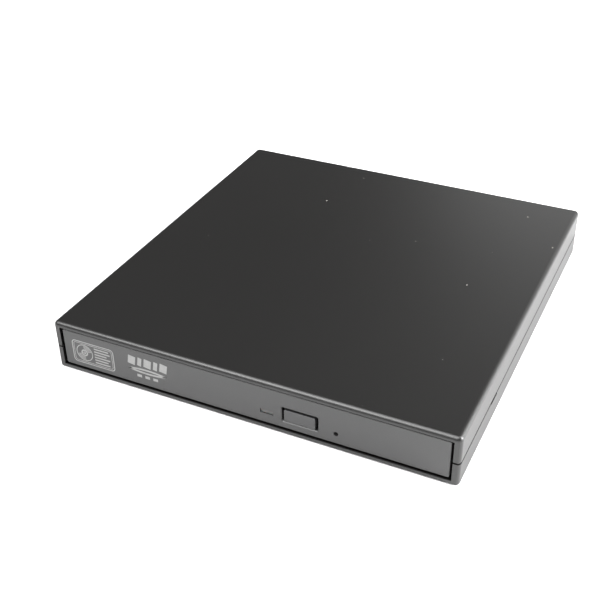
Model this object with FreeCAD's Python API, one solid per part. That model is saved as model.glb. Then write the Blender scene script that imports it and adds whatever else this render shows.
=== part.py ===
import FreeCAD, Part
import math
import os

# External optical drive: a slim tray-loading drive in a two-part plastic case.
# Millimetres. X to the right seen from the front, Y to the back, Z up.
# Origin: centre of the footprint, on the surface that the feet stand on.

V = FreeCAD.Vector
UP = V(0, 0, 1)

# ---------------------------------------------------------------- driving dimensions
# case
CASE_W, CASE_D, CASE_TOP = 134.0, 140.0, 17.7
FOOT_PROUD = 0.4                 # feet stand this far below the case
CORNER_R = 1.6                   # vertical corners
TOP_EDGE_R, BOTTOM_EDGE_R = 1.5, 0.55
SIDE_WALL, REAR_WALL = 2.15, 2.1
FLOOR_T, ROOF_T = 1.3, 1.8
SPLIT_Z = 8.65                   # parting plane of the two shells
BAY_TOP = 15.72                  # upper edge of the front opening
LIP_DEPTH = 2.5
BROW_Z, BROW_OVERHANG = 16.35, 0.28   # the roof overhangs the front face above this height
BROW_LINE_H, BROW_LINE_DEPTH = 0.22, 0.12
SILL_T, TRENCH_Z, TRENCH_BACK = 0.42, 1.0, -65.0   # thin sill in front of a shadow gap
GROOVE_DEPTH, GROOVE_H = 1.0, 0.6
TONGUE_T, TONGUE_H, TONGUE_GAP = 0.9, 1.0, 0.05
PRY_LENGTH, PRY_H, PRY_DEPTH, PRY_Y = 6.0, 0.6, 0.6, -37.7
FOOT_R, FOOT_T, FOOT_X, FOOT_Y = 4.5, 1.1, 55.0, 59.0
CASE_SCREW_X, CASE_SCREW_Y = 60.8, 64.3
DRIVE_SCREW_X, DRIVE_SCREW_YS = 60.9, (-35.0, 38.0)

# slim drive: 128 mm wide and 12.7 mm high
DRIVE_Z, DRIVE_H = 2.3, 12.7
DRIVE_TOP = DRIVE_Z + DRIVE_H
BEZEL_W, BEZEL_FRONT, BEZEL_BACK, BEZEL_PLATE = 128.2, -69.4, -66.0, 2.0
BEZEL_TOP = 15.2
SHEET = 0.5
CHASSIS_W, CHASSIS_FRONT, CHASSIS_BACK = 127.6, -65.6, 59.3
COVER_W = 128.5

# disc seat
SPINDLE_Y = -4.5
DISC_RECESS_R, SMALL_DISC_R = 61.0, 41.5
DISC_BOTTOM_Z = 10.4

# tray
TRAY_FRONT, TRAY_BACK = BEZEL_BACK, 57.2
DECK_TOP, DECK_FLOOR, DECK_BOTTOM = 12.2, 9.6, 8.6
DECK_HALF, FLOOR_HALF, LIP_HALF, SKIRT_HALF = 62.6, 60.5, 61.3, 59.5
SKIRT_BOTTOM, TRAY_WALL = 3.9, 1.2

# telescopic rails beside the tray
RAIL_X0, RAIL_X1, RAIL_Z0, RAIL_Z1 = 60.75, 62.2, 4.7, 8.7
RAIL_Y0, RAIL_Y1 = -62.0, 56.0
GUIDE_LIP_X, GUIDE_X0, GUIDE_X1 = 61.7, 62.4, CHASSIS_W / 2 - SHEET
CHANNEL_LIP = 0.6
CHANNEL_Z0, CHANNEL_Z1 = 3.9, 9.5

# mechanism under the tray, laid out on a line that leaves the spindle at SLED_ANGLE
SLED_ANGLE = 225.0
LENS_R0 = 24.5                   # lens distance from the spindle at rest
SLED_IN, SLED_OUT, SLED_HALF = 7.0, 6.8, 13.5
SLED_Z0, SLED_Z1, SLED_TOP = 3.8, 6.75, 8.6
ROD_V, ROD_Z, ROD_R, ROD_U0, ROD_U1 = 11.0, 5.3, 1.0, 14.8, 68.2
RUNNING = 0.05                           # radial clearance of a sliding or turning fit
FRAME_Z0, FRAME_Z1 = 6.9, 7.9
WINDOW_U0, WINDOW_U1, WINDOW_V = 16.3, 64.5, 9.0
SCREW_V, SCREW_Z, SCREW_R, SCREW_U0, SCREW_U1 = 18.5, 6.1, 1.1, 14.0, 59.0
SLED_MOTOR_R, SLED_MOTOR_U0 = 2.45, 2.0
COVER_SHEET, UNDER_COVER_Z = 0.3, 3.3

# spindle motor and disc hub
MOTOR_BASE_R, MOTOR_BASE_Z0, MOTOR_BASE_Z1 = 15.2, 3.75, 4.35
ROTOR_R, ROTOR_WALL, ROTOR_ROOF, ROTOR_Z0, ROTOR_Z1 = 14.0, 0.7, 0.8, 4.8, 8.9
SHAFT_R = 1.5
HUB_R, HUB_TOP = 7.4, 12.9
CLAW_W, CLAW_Z0, CLAW_Z1, CLAW_IN, CLAW_OUT, CLAW_TIP = 2.4, 11.0, 12.3, 4.2, 7.3, 7.95

# front panel: eject button, light and emergency hole
BUTTON_X, BUTTON_Z, BUTTON_W, BUTTON_H = 18.6, 7.1, 10.0, 4.0
BUTTON_HOLE_W, BUTTON_HOLE_H, BUTTON_HOLE_RISE, BUTTON_PROUD = 11.6, 5.0, 0.15, 0.12
BUTTON_HOLE_R, BUTTON_R, BUTTON_CHAMFER = 0.4, 0.35, 0.28
LIGHT_X, LIGHT_Z, LIGHT_W, LIGHT_H = 7.9, 6.35, 4.2, 1.3
RELEASE_X, RELEASE_Z, RELEASE_R = 30.1, 5.86, 0.75
LIGHT_RECESS, LIGHT_GAP, LIGHT_BACK = 0.35, 0.05, -64.6
BUTTON_FLANGE_X, BUTTON_FLANGE_Z, BUTTON_STEM_BACK, BUTTON_STEM_R = 6.7, 1.7, -65.2, 1.0
SWITCH_Z = BUTTON_Z - 0.6        # the button's stem and the switch behind it

# latch: a bell crank on the tray that holds a post on the chassis
POST_X, POST_Y, POST_R, POST_TOP, POST_COLLAR_R, POST_COLLAR_H = 49.0, -57.0, 1.5, 6.3, 2.1, 0.4
PIVOT_X, PIVOT_Y, PIVOT_R = 44.0, -40.5, 1.0
CRANK_Z0, CRANK_Z1, CRANK_HALF = 4.9, 6.9, 1.0
HOOK_T, HOOK_REACH, HOOK_GAP = 2.8, 0.6, 0.1     # the hook face is an arc about the pivot, clear of the post
CRANK_EYE_R = 2.2
PLUNGER_Y, PLUNGER_Z, PLUNGER_R = -47.5, 6.0, 0.95
SOLENOID_X0, SOLENOID_X1, SOLENOID_HALF, PLUNGER_X0, PLUNGER_X1 = 33.0, 39.6, 3.5, 36.2, 42.6
BAR_FRONT, BAR_HALF = -63.5, 1.0

# ejector: a sprung plunger that pushes the tray off its stop
EJECTOR_X, EJECTOR_Z, EJECTOR_R = 55.5, 5.4, 1.7
EJECTOR_Y0, EJECTOR_Y1 = 44.0, 58.5

# boards and connectors
BOARD_T = 0.8
TRAY_BOARD_Z, REAR_BOARD_Z, BRIDGE_Z = 3.8, 3.6, 5.0
BRIDGE_X0, BRIDGE_X1 = -54.0, 37.0
PLUG_X0, PLUG_X1, PLUG_Y, PLUG_D, PLUG_H = -52.0, -10.0, 60.0, 4.4, 2.6
USB_X, USB_W, USB_H, USB_D = 12.0, 7.7, 4.0, 9.2
JACK_X, JACK_W, JACK_H, JACK_D, JACK_BORE_R, JACK_PIN_R = 29.0, 6.6, 6.0, 9.0, 2.1, 0.65
SOCKET_FACE_Y = 69.5

# flexible flat cable between the fixed board and the tray board
FLEX_X0, FLEX_X1, FLEX_T, FLEX_FOLD_Y, FLEX_LOW_Z, FLEX_HIGH_Z = -58.0, -48.5, 0.15, -31.0, 2.85, 4.65
FLEX_FIXED_Y, FLEX_TRAY_Y = 44.0, 43.0


# small allowances
BITE = 0.1                       # overlap of two pieces that become one
CUT = 1.0                        # how far a cutting tool reaches past the piece that it cuts
THROUGH = 20.0                   # height above the whole drive, for holes cut right through


# ---------------------------------------------------------------- shared helpers
def box(x0, x1, y0, y1, z0, z1):
    """Block between two corners."""
    return Part.makeBox(x1 - x0, y1 - y0, z1 - z0, V(x0, y0, z0))


def rod(x, y, z0, z1, r):
    """Upright cylinder."""
    return Part.makeCylinder(r, z1 - z0, V(x, y, z0), UP)


def rod_x(x0, x1, y, z, r):
    """Cylinder along X."""
    return Part.makeCylinder(r, x1 - x0, V(x0, y, z), V(1, 0, 0))


def rod_y(x, y0, y1, z, r):
    """Cylinder along Y."""
    return Part.makeCylinder(r, y1 - y0, V(x, y0, z), V(0, 1, 0))


def fuse(*shapes):
    """One solid from touching shapes, with seams between coplanar faces taken out."""
    return shapes[0].multiFuse(list(shapes[1:])).removeSplitter()


def edges_along(shape, direction):
    """Straight edges parallel to a direction."""
    found = []
    for edge in shape.Edges:
        ends = [v.Point for v in edge.Vertexes]
        if len(ends) == 2 and (ends[1] - ends[0]).normalize().cross(direction).Length < 1e-6:
            found.append(edge)
    return found


def edges_at_z(shape, z):
    """Edges that lie in the plane at height z."""
    return [e for e in shape.Edges if abs(e.BoundBox.ZMin - z) < 1e-6 and abs(e.BoundBox.ZMax - z) < 1e-6]


def edges_at_y(shape, y):
    """Edges that lie in the plane at depth y."""
    return [e for e in shape.Edges if abs(e.BoundBox.YMin - y) < 1e-6 and abs(e.BoundBox.YMax - y) < 1e-6]


def round_plate(x0, x1, y0, y1, z0, z1, r):
    """Block with rounded upright corners."""
    plate = box(x0, x1, y0, y1, z0, z1)
    return plate.makeFillet(r, edges_along(plate, UP))


def round_panel(x0, x1, y0, y1, z0, z1, r):
    """Block whose four edges along Y are rounded."""
    panel = box(x0, x1, y0, y1, z0, z1)
    return panel.makeFillet(r, edges_along(panel, V(0, 1, 0)))


def prism(points, z0, z1):
    """Upright prism on a polygon."""
    corners = [V(x, y, z0) for x, y in points]
    return Part.Face(Part.makePolygon(corners + corners[:1])).extrude(UP * (z1 - z0))


def mirror_x(shape):
    """The same piece on the other side of the middle plane."""
    return shape.mirror(V(0, 0, 0), V(1, 0, 0))


def both_sides(shape):
    """A piece and its mirror image."""
    return [shape, mirror_x(shape)]


def on_mechanism(shape):
    """Turn a piece drawn about the spindle, with +X along the sled's path, into place."""
    placed = shape.copy()
    placed.rotate(V(0, 0, 0), UP, SLED_ANGLE)
    placed.translate(V(0, SPINDLE_Y, 0))
    return placed


def screw(x, y, head_z, head_h, head_r, tip_z, shank_r):
    """Pan head screw with a cross recess; the head's flat side is at head_z + head_h or below."""
    low, high = min(head_z, head_z + head_h), max(head_z, head_z + head_h)
    head = rod(x, y, low, high, head_r)
    outer_z = head_z
    depth = 0.5 * (high - low)
    slot_z0, slot_z1 = (outer_z, outer_z + depth) if head_h > 0 else (outer_z - depth, outer_z)
    slot_half, slot_reach = 0.16 * head_r, 0.62 * head_r
    head = head.cut(box(x - slot_reach, x + slot_reach, y - slot_half, y + slot_half, slot_z0, slot_z1))
    head = head.cut(box(x - slot_half, x + slot_half, y - slot_reach, y + slot_reach, slot_z0, slot_z1))
    inner_z = head_z + head_h
    shank = rod(x, y, min(inner_z, tip_z), max(inner_z, tip_z), shank_r)
    return fuse(head, shank)


PARTS = {}


def add(name, shape, *more):
    """Keep a node: one solid, or a group of separate identical solids."""
    solids = [s for piece in (shape,) + more for s in piece.Solids]
    PARTS[name] = solids[0] if len(solids) == 1 else Part.makeCompound(solids)


# ---------------------------------------------------------------- case
def case_block(inset, z0, z1):
    """Rounded block of the case's plan, drawn in by inset."""
    half_w, half_d = CASE_W / 2 - inset, CASE_D / 2 - inset
    return round_plate(-half_w, half_w, -half_d, half_d, z0, z1, max(CORNER_R - inset, 0.6))


def case_ring(outer, inner, z0, z1):
    """Ring between two insets of the case's plan."""
    return case_block(outer, z0, z1).cut(case_block(inner, z0, z1))


def case_body():
    """Outside of the whole case with its edges rounded."""
    body = case_block(0.0, FOOT_PROUD, CASE_TOP)
    body = body.makeFillet(TOP_EDGE_R, edges_at_z(body, CASE_TOP))
    face_y = FRONT_Y + BROW_OVERHANG
    brow = box(-CASE_W, CASE_W, FRONT_Y - CUT, face_y, FOOT_PROUD - CUT, BROW_Z)
    line = box(-INNER_X, INNER_X, FRONT_Y - CUT, face_y + BROW_LINE_DEPTH, BROW_Z - BROW_LINE_H, BROW_Z)
    body = body.cut(brow).cut(line)
    return body.makeFillet(BOTTOM_EDGE_R, edges_at_z(body, FOOT_PROUD))


INNER_X = CASE_W / 2 - SIDE_WALL
INNER_Y = CASE_D / 2 - REAR_WALL
FRONT_Y = -CASE_D / 2
FLOOR_Z = FOOT_PROUD + FLOOR_T
ROOF_Z = CASE_TOP - ROOF_T


def case_cavity():
    """Space inside the case, open at the front below the lip."""
    bay = box(-INNER_X, INNER_X, FRONT_Y - CUT, INNER_Y, FLOOR_Z, BAY_TOP)
    loft = box(-INNER_X, INNER_X, FRONT_Y + LIP_DEPTH, INNER_Y, BAY_TOP - BITE, ROOF_Z)
    sill_y = FRONT_Y + BROW_OVERHANG + SILL_T
    trench = box(-INNER_X, INNER_X, sill_y, TRENCH_BACK, TRENCH_Z, FLOOR_Z + BITE)
    return bay.fuse(loft).fuse(trench)


def socket_holes():
    """Rear wall openings for the two sockets."""
    gap = 0.25
    base = BRIDGE_Z + BOARD_T
    y0, y1 = INNER_Y - CUT, CASE_D / 2 + CUT
    holes = []
    for x, width, height in ((USB_X, USB_W, USB_H), (JACK_X, JACK_W, JACK_H)):
        reach = width / 2 + gap
        holes.append(box(x - reach, x + reach, y0, y1, base - gap, base + height + gap))
    return holes


CASE_BOSS_R, UPPER_BOSS_R, CASE_BOSS_TOP, CASE_HEAD_Z = 3.2, 2.5, 4.5, 1.5
CASE_HEAD_R, CASE_HEAD_H, CASE_SHANK_R, CASE_SCREW_TIP = 2.1, 1.3, 1.0, 10.0
DRIVE_HEAD_R, DRIVE_HEAD_H, DRIVE_SHANK_R, DRIVE_SCREW_TIP = 1.9, 0.6, 0.95, 3.15
SCREW_FIT, HEAD_FIT = 0.03, 0.15
DRIVE_HEAD_Z = FOOT_PROUD + 0.1
DRIVE_PAD_R = 3.0
ROOF_RIB_XS, ROOF_RIB_HALF = (-42.0, 0.0, 42.0), 0.6
SIDE_RIB_YS, REAR_RIB_XS, RIB_HALF = (-45.0, 0.0, 45.0), (-49.0, 0.5, 35.5), 0.8
FOOT_YS, FOOT_FIT, FOOT_EDGE_R = (-FOOT_Y, FOOT_Y - 6.0), 0.1, 0.3


def top_shell(body, cavity):
    """Upper shell: roof, the upper halves of three walls and the front lip."""
    shell = body.common(box(-CASE_W, CASE_W, -CASE_D, CASE_D, SPLIT_Z, CASE_TOP + CUT)).cut(cavity)
    tongue_space = case_ring(SIDE_WALL - TONGUE_T - TONGUE_GAP, SIDE_WALL + CUT,
                             SPLIT_Z, SPLIT_Z + TONGUE_H + TONGUE_GAP)
    shell = shell.cut(tongue_space)
    adds = []
    rib_y0, rib_y1, rib_z = CHASSIS_FRONT, INNER_Y - 9.0, DRIVE_TOP + 0.05
    for x in ROOF_RIB_XS:
        adds.append(box(x - ROOF_RIB_HALF, x + ROOF_RIB_HALF, rib_y0, rib_y1, rib_z, ROOF_Z))
    boss = rod(CASE_SCREW_X, CASE_SCREW_Y, CASE_BOSS_TOP, ROOF_Z, UPPER_BOSS_R)
    pilot = rod(CASE_SCREW_X, CASE_SCREW_Y, CASE_BOSS_TOP, CASE_SCREW_TIP + CUT, CASE_SHANK_R + SCREW_FIT)
    boss = boss.cut(pilot)
    adds += both_sides(boss)
    shell = fuse(shell, *adds)
    for hole in socket_holes():
        shell = shell.cut(hole)
    return shell


def bottom_shell(body, cavity):
    """Lower shell: floor, the lower halves of three walls, foot pockets and screw bosses."""
    shell = body.common(box(-CASE_W, CASE_W, -CASE_D, CASE_D, FOOT_PROUD - CUT, SPLIT_Z)).cut(cavity)
    shell = shell.cut(case_ring(-CUT, GROOVE_DEPTH, SPLIT_Z - GROOVE_H, SPLIT_Z))
    pry = box(CASE_W / 2 - PRY_DEPTH, CASE_W / 2 + CUT, PRY_Y - PRY_LENGTH / 2, PRY_Y + PRY_LENGTH / 2,
              SPLIT_Z - GROOVE_H - PRY_H, SPLIT_Z)
    for notch in both_sides(pry):
        shell = shell.cut(notch)
    root = 0.3
    tongue = case_ring(SIDE_WALL - TONGUE_T, SIDE_WALL, SPLIT_Z - root, SPLIT_Z + TONGUE_H)
    tongue = tongue.common(box(-CASE_W, CASE_W, FRONT_Y + LIP_DEPTH, CASE_D, 0, CASE_TOP))
    adds = [tongue]
    adds += both_sides(rod(CASE_SCREW_X, CASE_SCREW_Y, FLOOR_Z - root, CASE_BOSS_TOP, CASE_BOSS_R))
    for y in DRIVE_SCREW_YS:
        adds += both_sides(rod(DRIVE_SCREW_X, y, FLOOR_Z - root, DRIVE_Z, DRIVE_PAD_R))
    rib_x0, rib_x1, rib_top = CHASSIS_W / 2 + HEAD_FIT, INNER_X + root, SPLIT_Z - GROOVE_H
    for y in SIDE_RIB_YS:
        adds += both_sides(box(rib_x0, rib_x1, y - RIB_HALF, y + RIB_HALF, FLOOR_Z - root, rib_top))
    rib_y0, rib_y1 = PLUG_Y + 1.2, INNER_Y + root
    for x in REAR_RIB_XS:
        adds.append(box(x - RIB_HALF, x + RIB_HALF, rib_y0, rib_y1, FLOOR_Z - root, BRIDGE_Z))
    shell = fuse(shell, *adds)
    head_top = CASE_HEAD_Z + CASE_HEAD_H
    holes = [rod(CASE_SCREW_X, CASE_SCREW_Y, FOOT_PROUD - CUT, head_top, CASE_HEAD_R + HEAD_FIT),
             rod(CASE_SCREW_X, CASE_SCREW_Y, 0, CASE_BOSS_TOP + CUT, CASE_SHANK_R + SCREW_FIT)]
    for y in DRIVE_SCREW_YS:
        holes.append(rod(DRIVE_SCREW_X, y, 0, DRIVE_HEAD_Z + DRIVE_HEAD_H, DRIVE_HEAD_R + HEAD_FIT))
        holes.append(rod(DRIVE_SCREW_X, y, 0, DRIVE_Z + CUT, DRIVE_SHANK_R + SCREW_FIT))
    for y in FOOT_YS:
        holes.append(rod(FOOT_X, y, 0, FOOT_T, FOOT_R + FOOT_FIT))
    for hole in holes:
        for tool in both_sides(hole):
            shell = shell.cut(tool)
    for hole in socket_holes():
        shell = shell.cut(hole)
    return shell


def make_case():
    """Shells, feet and the screws that hold the case and the drive."""
    body, cavity = case_body(), case_cavity()
    add("top_shell", top_shell(body, cavity))
    add("bottom_shell", bottom_shell(body, cavity))
    feet = []
    for y in FOOT_YS:
        foot = rod(FOOT_X, y, 0, FOOT_T, FOOT_R)
        feet += both_sides(foot.makeFillet(FOOT_EDGE_R, edges_at_z(foot, 0)))
    add("rubber_feet", *feet)
    add("case_screws", *both_sides(screw(CASE_SCREW_X, CASE_SCREW_Y, CASE_HEAD_Z, CASE_HEAD_H, CASE_HEAD_R,
                                         CASE_SCREW_TIP, CASE_SHANK_R)))
    drive_screws = []
    for y in DRIVE_SCREW_YS:
        drive_screws += both_sides(screw(DRIVE_SCREW_X, y, DRIVE_HEAD_Z, DRIVE_HEAD_H, DRIVE_HEAD_R,
                                         DRIVE_SCREW_TIP, DRIVE_SHANK_R))
    add("drive_screws", *drive_screws)


# ---------------------------------------------------------------- bridge board behind the drive
def make_bridge():
    """Small board that turns the drive's connector into a USB socket, with its parts."""
    top = BRIDGE_Z + BOARD_T
    edge_gap = 0.3
    add("bridge_board", box(BRIDGE_X0, BRIDGE_X1, PLUG_Y + edge_gap, INNER_Y - edge_gap, BRIDGE_Z, top))
    add("board_plug", box(PLUG_X0, PLUG_X1, PLUG_Y, PLUG_Y + PLUG_D, top, top + PLUG_H))
    back, half = SOCKET_FACE_Y - USB_D, USB_W / 2
    usb = round_panel(USB_X - half, USB_X + half, back, SOCKET_FACE_Y, top, top + USB_H, 0.7)
    wall, web, tongue_half, tongue_t, tongue_set = 0.45, 2.2, 2.3, 1.0, 1.2
    mouth = round_panel(USB_X - half + wall, USB_X + half - wall, back + web, SOCKET_FACE_Y + CUT,
                        top + wall, top + USB_H - wall, 0.5)
    tongue_z = top + USB_H / 2 - tongue_t / 2
    tongue = box(USB_X - tongue_half, USB_X + tongue_half, back + web - 2 * BITE, SOCKET_FACE_Y - tongue_set,
                 tongue_z, tongue_z + tongue_t)
    add("usb_socket", fuse(usb.cut(mouth), tongue))
    axis_z = top + JACK_H / 2
    back, half, web, pin_set = SOCKET_FACE_Y - JACK_D, JACK_W / 2, 1.5, 1.0
    jack = box(JACK_X - half, JACK_X + half, back, SOCKET_FACE_Y, top, top + JACK_H)
    jack = jack.cut(rod_y(JACK_X, back + web, SOCKET_FACE_Y + CUT, axis_z, JACK_BORE_R))
    pin = rod_y(JACK_X, back + web / 2, SOCKET_FACE_Y - pin_set, axis_z, JACK_PIN_R)
    add("power_jack", fuse(jack, pin))
    chip_x, chip_y, chip_side, chip_t = -5.5, 61.6, 5.0, 0.9
    add("bridge_chip", box(chip_x, chip_x + chip_side, chip_y, chip_y + chip_side, top, top + chip_t))
    crystal_x, crystal_w, crystal_d, crystal_h, crystal_r = 1.2, 5.8, 3.4, 2.6, 1.4
    add("crystal", round_plate(crystal_x, crystal_x + crystal_w, chip_y, chip_y + crystal_d,
                               top, top + crystal_h, crystal_r))
    can_xs, can_y, can_r, can_h = (19.0, 23.4), 64.0, 1.9, 3.6
    add("capacitors", *[rod(x, can_y, top, top + can_h, can_r) for x in can_xs])


# ---------------------------------------------------------------- drive chassis
COVER_SCREW_X, COVER_SCREW_YS, COVER_HOLE_R = 61.8, (-58.0, 52.0), 0.73
COVER_HEAD_R, COVER_HEAD_H, COVER_SHANK_R, COVER_SCREW_REACH = 1.5, 0.4, 0.7, 1.2
TAB_T, TAB_HALF, TAB_REACH = 0.5, 2.2, 1.6
FLANGE_GAP, FLANGE_H = 0.05, 3.0
REAR_BOARD_X0, REAR_BOARD_X1, REAR_BOARD_Y, STANDOFF_R = -55.0, -8.0, 47.0, 1.4
CONNECTOR_Y, CONNECTOR_TOP, CONNECTOR_GAP = 54.3, 8.4, 0.3
EJECTOR_HALF, EJECTOR_TOP, EJECTOR_NOSE = 2.9, 2.4, 4.6
SPRING_LENGTH, SPRING_WALL = 3.5, 0.5


def make_chassis():
    """Sheet steel pan, cover, guides, boards and the fixed ends of latch and ejector."""
    half, z0 = CHASSIS_W / 2, DRIVE_Z
    floor_top, cover_z = DRIVE_Z + SHEET, DRIVE_TOP - SHEET
    pan = box(-half, half, CHASSIS_FRONT, CHASSIS_BACK, z0, floor_top)
    side = box(half - SHEET, half, CHASSIS_FRONT, CHASSIS_BACK, z0, cover_z)
    rear = box(-half, half, CHASSIS_BACK - SHEET, CHASSIS_BACK, z0, cover_z)
    pieces = both_sides(side) + [rear]
    for y in COVER_SCREW_YS:
        tab = box(COVER_SCREW_X - TAB_REACH, half, y - TAB_HALF, y + TAB_HALF, cover_z - TAB_T, cover_z)
        pieces += both_sides(tab)
    pan = fuse(pan, *pieces)
    slot_x0, slot_x1 = PLUG_X0 - SHEET, PLUG_X1 + SHEET
    pan = pan.cut(box(slot_x0, slot_x1, CHASSIS_BACK - CUT, CHASSIS_BACK + CUT, floor_top,
                      CONNECTOR_TOP + CONNECTOR_GAP))
    holes = [rod(DRIVE_SCREW_X, y, 0, floor_top + CUT, DRIVE_SHANK_R + SCREW_FIT) for y in DRIVE_SCREW_YS]
    holes += [rod(COVER_SCREW_X, y, cover_z - CUT, cover_z + CUT, COVER_HOLE_R) for y in COVER_SCREW_YS]
    for hole in holes:
        for tool in both_sides(hole):
            pan = pan.cut(tool)
    add("drive_chassis", pan)

    cover_half = COVER_W / 2
    plate = box(-cover_half, cover_half, CHASSIS_FRONT, CHASSIS_BACK, cover_z, DRIVE_TOP)
    flange = box(half + FLANGE_GAP, cover_half, CHASSIS_FRONT, CHASSIS_BACK,
                 cover_z - FLANGE_H, cover_z + BITE)
    cover = fuse(plate, *both_sides(flange))
    cover_screws = []
    for y in COVER_SCREW_YS:
        for tool in both_sides(rod(COVER_SCREW_X, y, 0, THROUGH, COVER_HOLE_R)):
            cover = cover.cut(tool)
        cover_screws += both_sides(screw(COVER_SCREW_X, y, DRIVE_TOP + COVER_HEAD_H, -COVER_HEAD_H,
                                         COVER_HEAD_R, cover_z - COVER_SCREW_REACH, COVER_SHANK_R))
    add("drive_cover", cover)
    add("cover_screws", *cover_screws)

    guide_y0, guide_y1 = RAIL_Y0 - CUT, RAIL_Y1 + CUT
    guide = box(GUIDE_X0, GUIDE_X1, guide_y0, guide_y1, CHANNEL_Z0, CHANNEL_Z1)
    low = box(GUIDE_LIP_X, GUIDE_X0, guide_y0, guide_y1, CHANNEL_Z0, CHANNEL_Z0 + CHANNEL_LIP)
    high = box(GUIDE_LIP_X, GUIDE_X0, guide_y0, guide_y1, CHANNEL_Z1 - CHANNEL_LIP, CHANNEL_Z1)
    add("rail_guides", *both_sides(fuse(guide, low, high)))

    collar = rod(POST_X, POST_Y, floor_top, floor_top + POST_COLLAR_H, POST_COLLAR_R)
    add("latch_post", fuse(collar, rod(POST_X, POST_Y, floor_top, POST_TOP, POST_R)))

    board_top = REAR_BOARD_Z + BOARD_T
    rear_board = box(REAR_BOARD_X0, REAR_BOARD_X1, REAR_BOARD_Y, CHASSIS_BACK - SHEET - BITE,
                     REAR_BOARD_Z, board_top)
    for x in (REAR_BOARD_X0 + 4.0, REAR_BOARD_X1 - 4.0):
        rear_board = rear_board.fuse(rod(x, REAR_BOARD_Y + 6.0, floor_top, REAR_BOARD_Z, STANDOFF_R))
    add("rear_board", rear_board.removeSplitter())
    add("rear_connector", box(PLUG_X0, PLUG_X1, CONNECTOR_Y, PLUG_Y, board_top, CONNECTOR_TOP))

    bore_end, plunger_back = EJECTOR_Y1 - CUT, EJECTOR_Y1 - CUT - SPRING_LENGTH
    housing = box(EJECTOR_X - EJECTOR_HALF, EJECTOR_X + EJECTOR_HALF, EJECTOR_Y0, EJECTOR_Y1,
                  floor_top, EJECTOR_Z + EJECTOR_TOP)
    bore = rod_y(EJECTOR_X, EJECTOR_Y0 - CUT, bore_end, EJECTOR_Z, EJECTOR_R + RUNNING)
    add("ejector_housing", housing.cut(bore))
    add("ejector_plunger", rod_y(EJECTOR_X, EJECTOR_Y0 - EJECTOR_NOSE, plunger_back, EJECTOR_Z, EJECTOR_R))
    spring_r = EJECTOR_R - 0.2
    spring = rod_y(EJECTOR_X, plunger_back, bore_end, EJECTOR_Z, spring_r)
    hollow = rod_y(EJECTOR_X, plunger_back - CUT, EJECTOR_Y1, EJECTOR_Z, spring_r - SPRING_WALL)
    add("ejector_spring", spring.cut(hollow))


def make_rails():
    """The two middle stages that slide half as far as the tray."""
    rail = box(RAIL_X0, RAIL_X1, RAIL_Y0, RAIL_Y1, RAIL_Z0, RAIL_Z1)
    groove_depth, end_land, edge_land = 0.4, 3.0, 1.2
    groove = box(RAIL_X0 - CUT, RAIL_X0 + groove_depth, RAIL_Y0 + end_land, RAIL_Y1 - end_land,
                 RAIL_Z0 + edge_land, RAIL_Z1 - edge_land)
    rail = rail.cut(groove)
    add("rail_right", rail)
    add("rail_left", mirror_x(rail))


# ---------------------------------------------------------------- tray and front panel
UNDER_POSTS = ((-41.0, 20.0), (-12.0, 29.5), (43.5, 28.0), (43.5, -25.0), (-7.0, -60.0))
UNDER_POST_R, UNDER_HOLE_R, UNDER_HOLE_TOP = 1.8, 0.63, 7.0
UNDER_HEAD_R, UNDER_HEAD_H, UNDER_SHANK_R, UNDER_SCREW_TIP = 1.3, 0.3, 0.6, 6.5
UNDER_OUTLINE = ((-58.6, -64.3), (46.0, -64.3), (46.0, 33.0), (-46.0, 33.0), (-46.0, -36.0), (-58.6, -36.0))
DAMPERS = ((-14.2, -12.0), (-14.2, 10.4), (66.9, 0.0))
DAMPER_R, DAMPER_NECK_R, DAMPER_BORE_R, DAMPER_SHANK_R = 2.3, 1.65, 0.95, 0.9
DAMPER_HOLE_TOP, DAMPER_SCREW_TIP = DECK_BOTTOM + 0.7, DECK_BOTTOM + 0.6
HUB_OPENING_R, LENS_OPENING_HALF = 16.5, 9.7
TRAY_CORE_TOP = DECK_FLOOR + 0.2         # the deck plate and the floor under it meet here
PUSHER_T, PUSHER_HALF = 1.2, 3.2
KEEPER_YS, KEEPER_XS, KEEPER_T, KEEPER_D, KEEPER_Z = (-60.0, -48.5), (-1.75, 1.15), 0.6, 2.0, 4.7
RING_DEPTH, RING_W = 0.35, 0.8
HOOK_XS, HOOK_HALF, HOOK_Z0, HOOK_Z1, HOOK_TIP_T, HOOK_TOP = (-48.0, 52.0), 3.0, 4.7, 5.6, 1.0, 6.4
FACE_PAD_TOP = 11.0


def deck_opening():
    """Hole in the deck over the turntable and the path of the lens."""
    z0, z1 = DECK_BOTTOM - CUT, DECK_BOTTOM + 2 * CUT
    slot = box(0, WINDOW_U1, -LENS_OPENING_HALF, LENS_OPENING_HALF, z0, z1)
    return on_mechanism(rod(0, 0, z0, z1, HUB_OPENING_R).fuse(slot))


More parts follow.
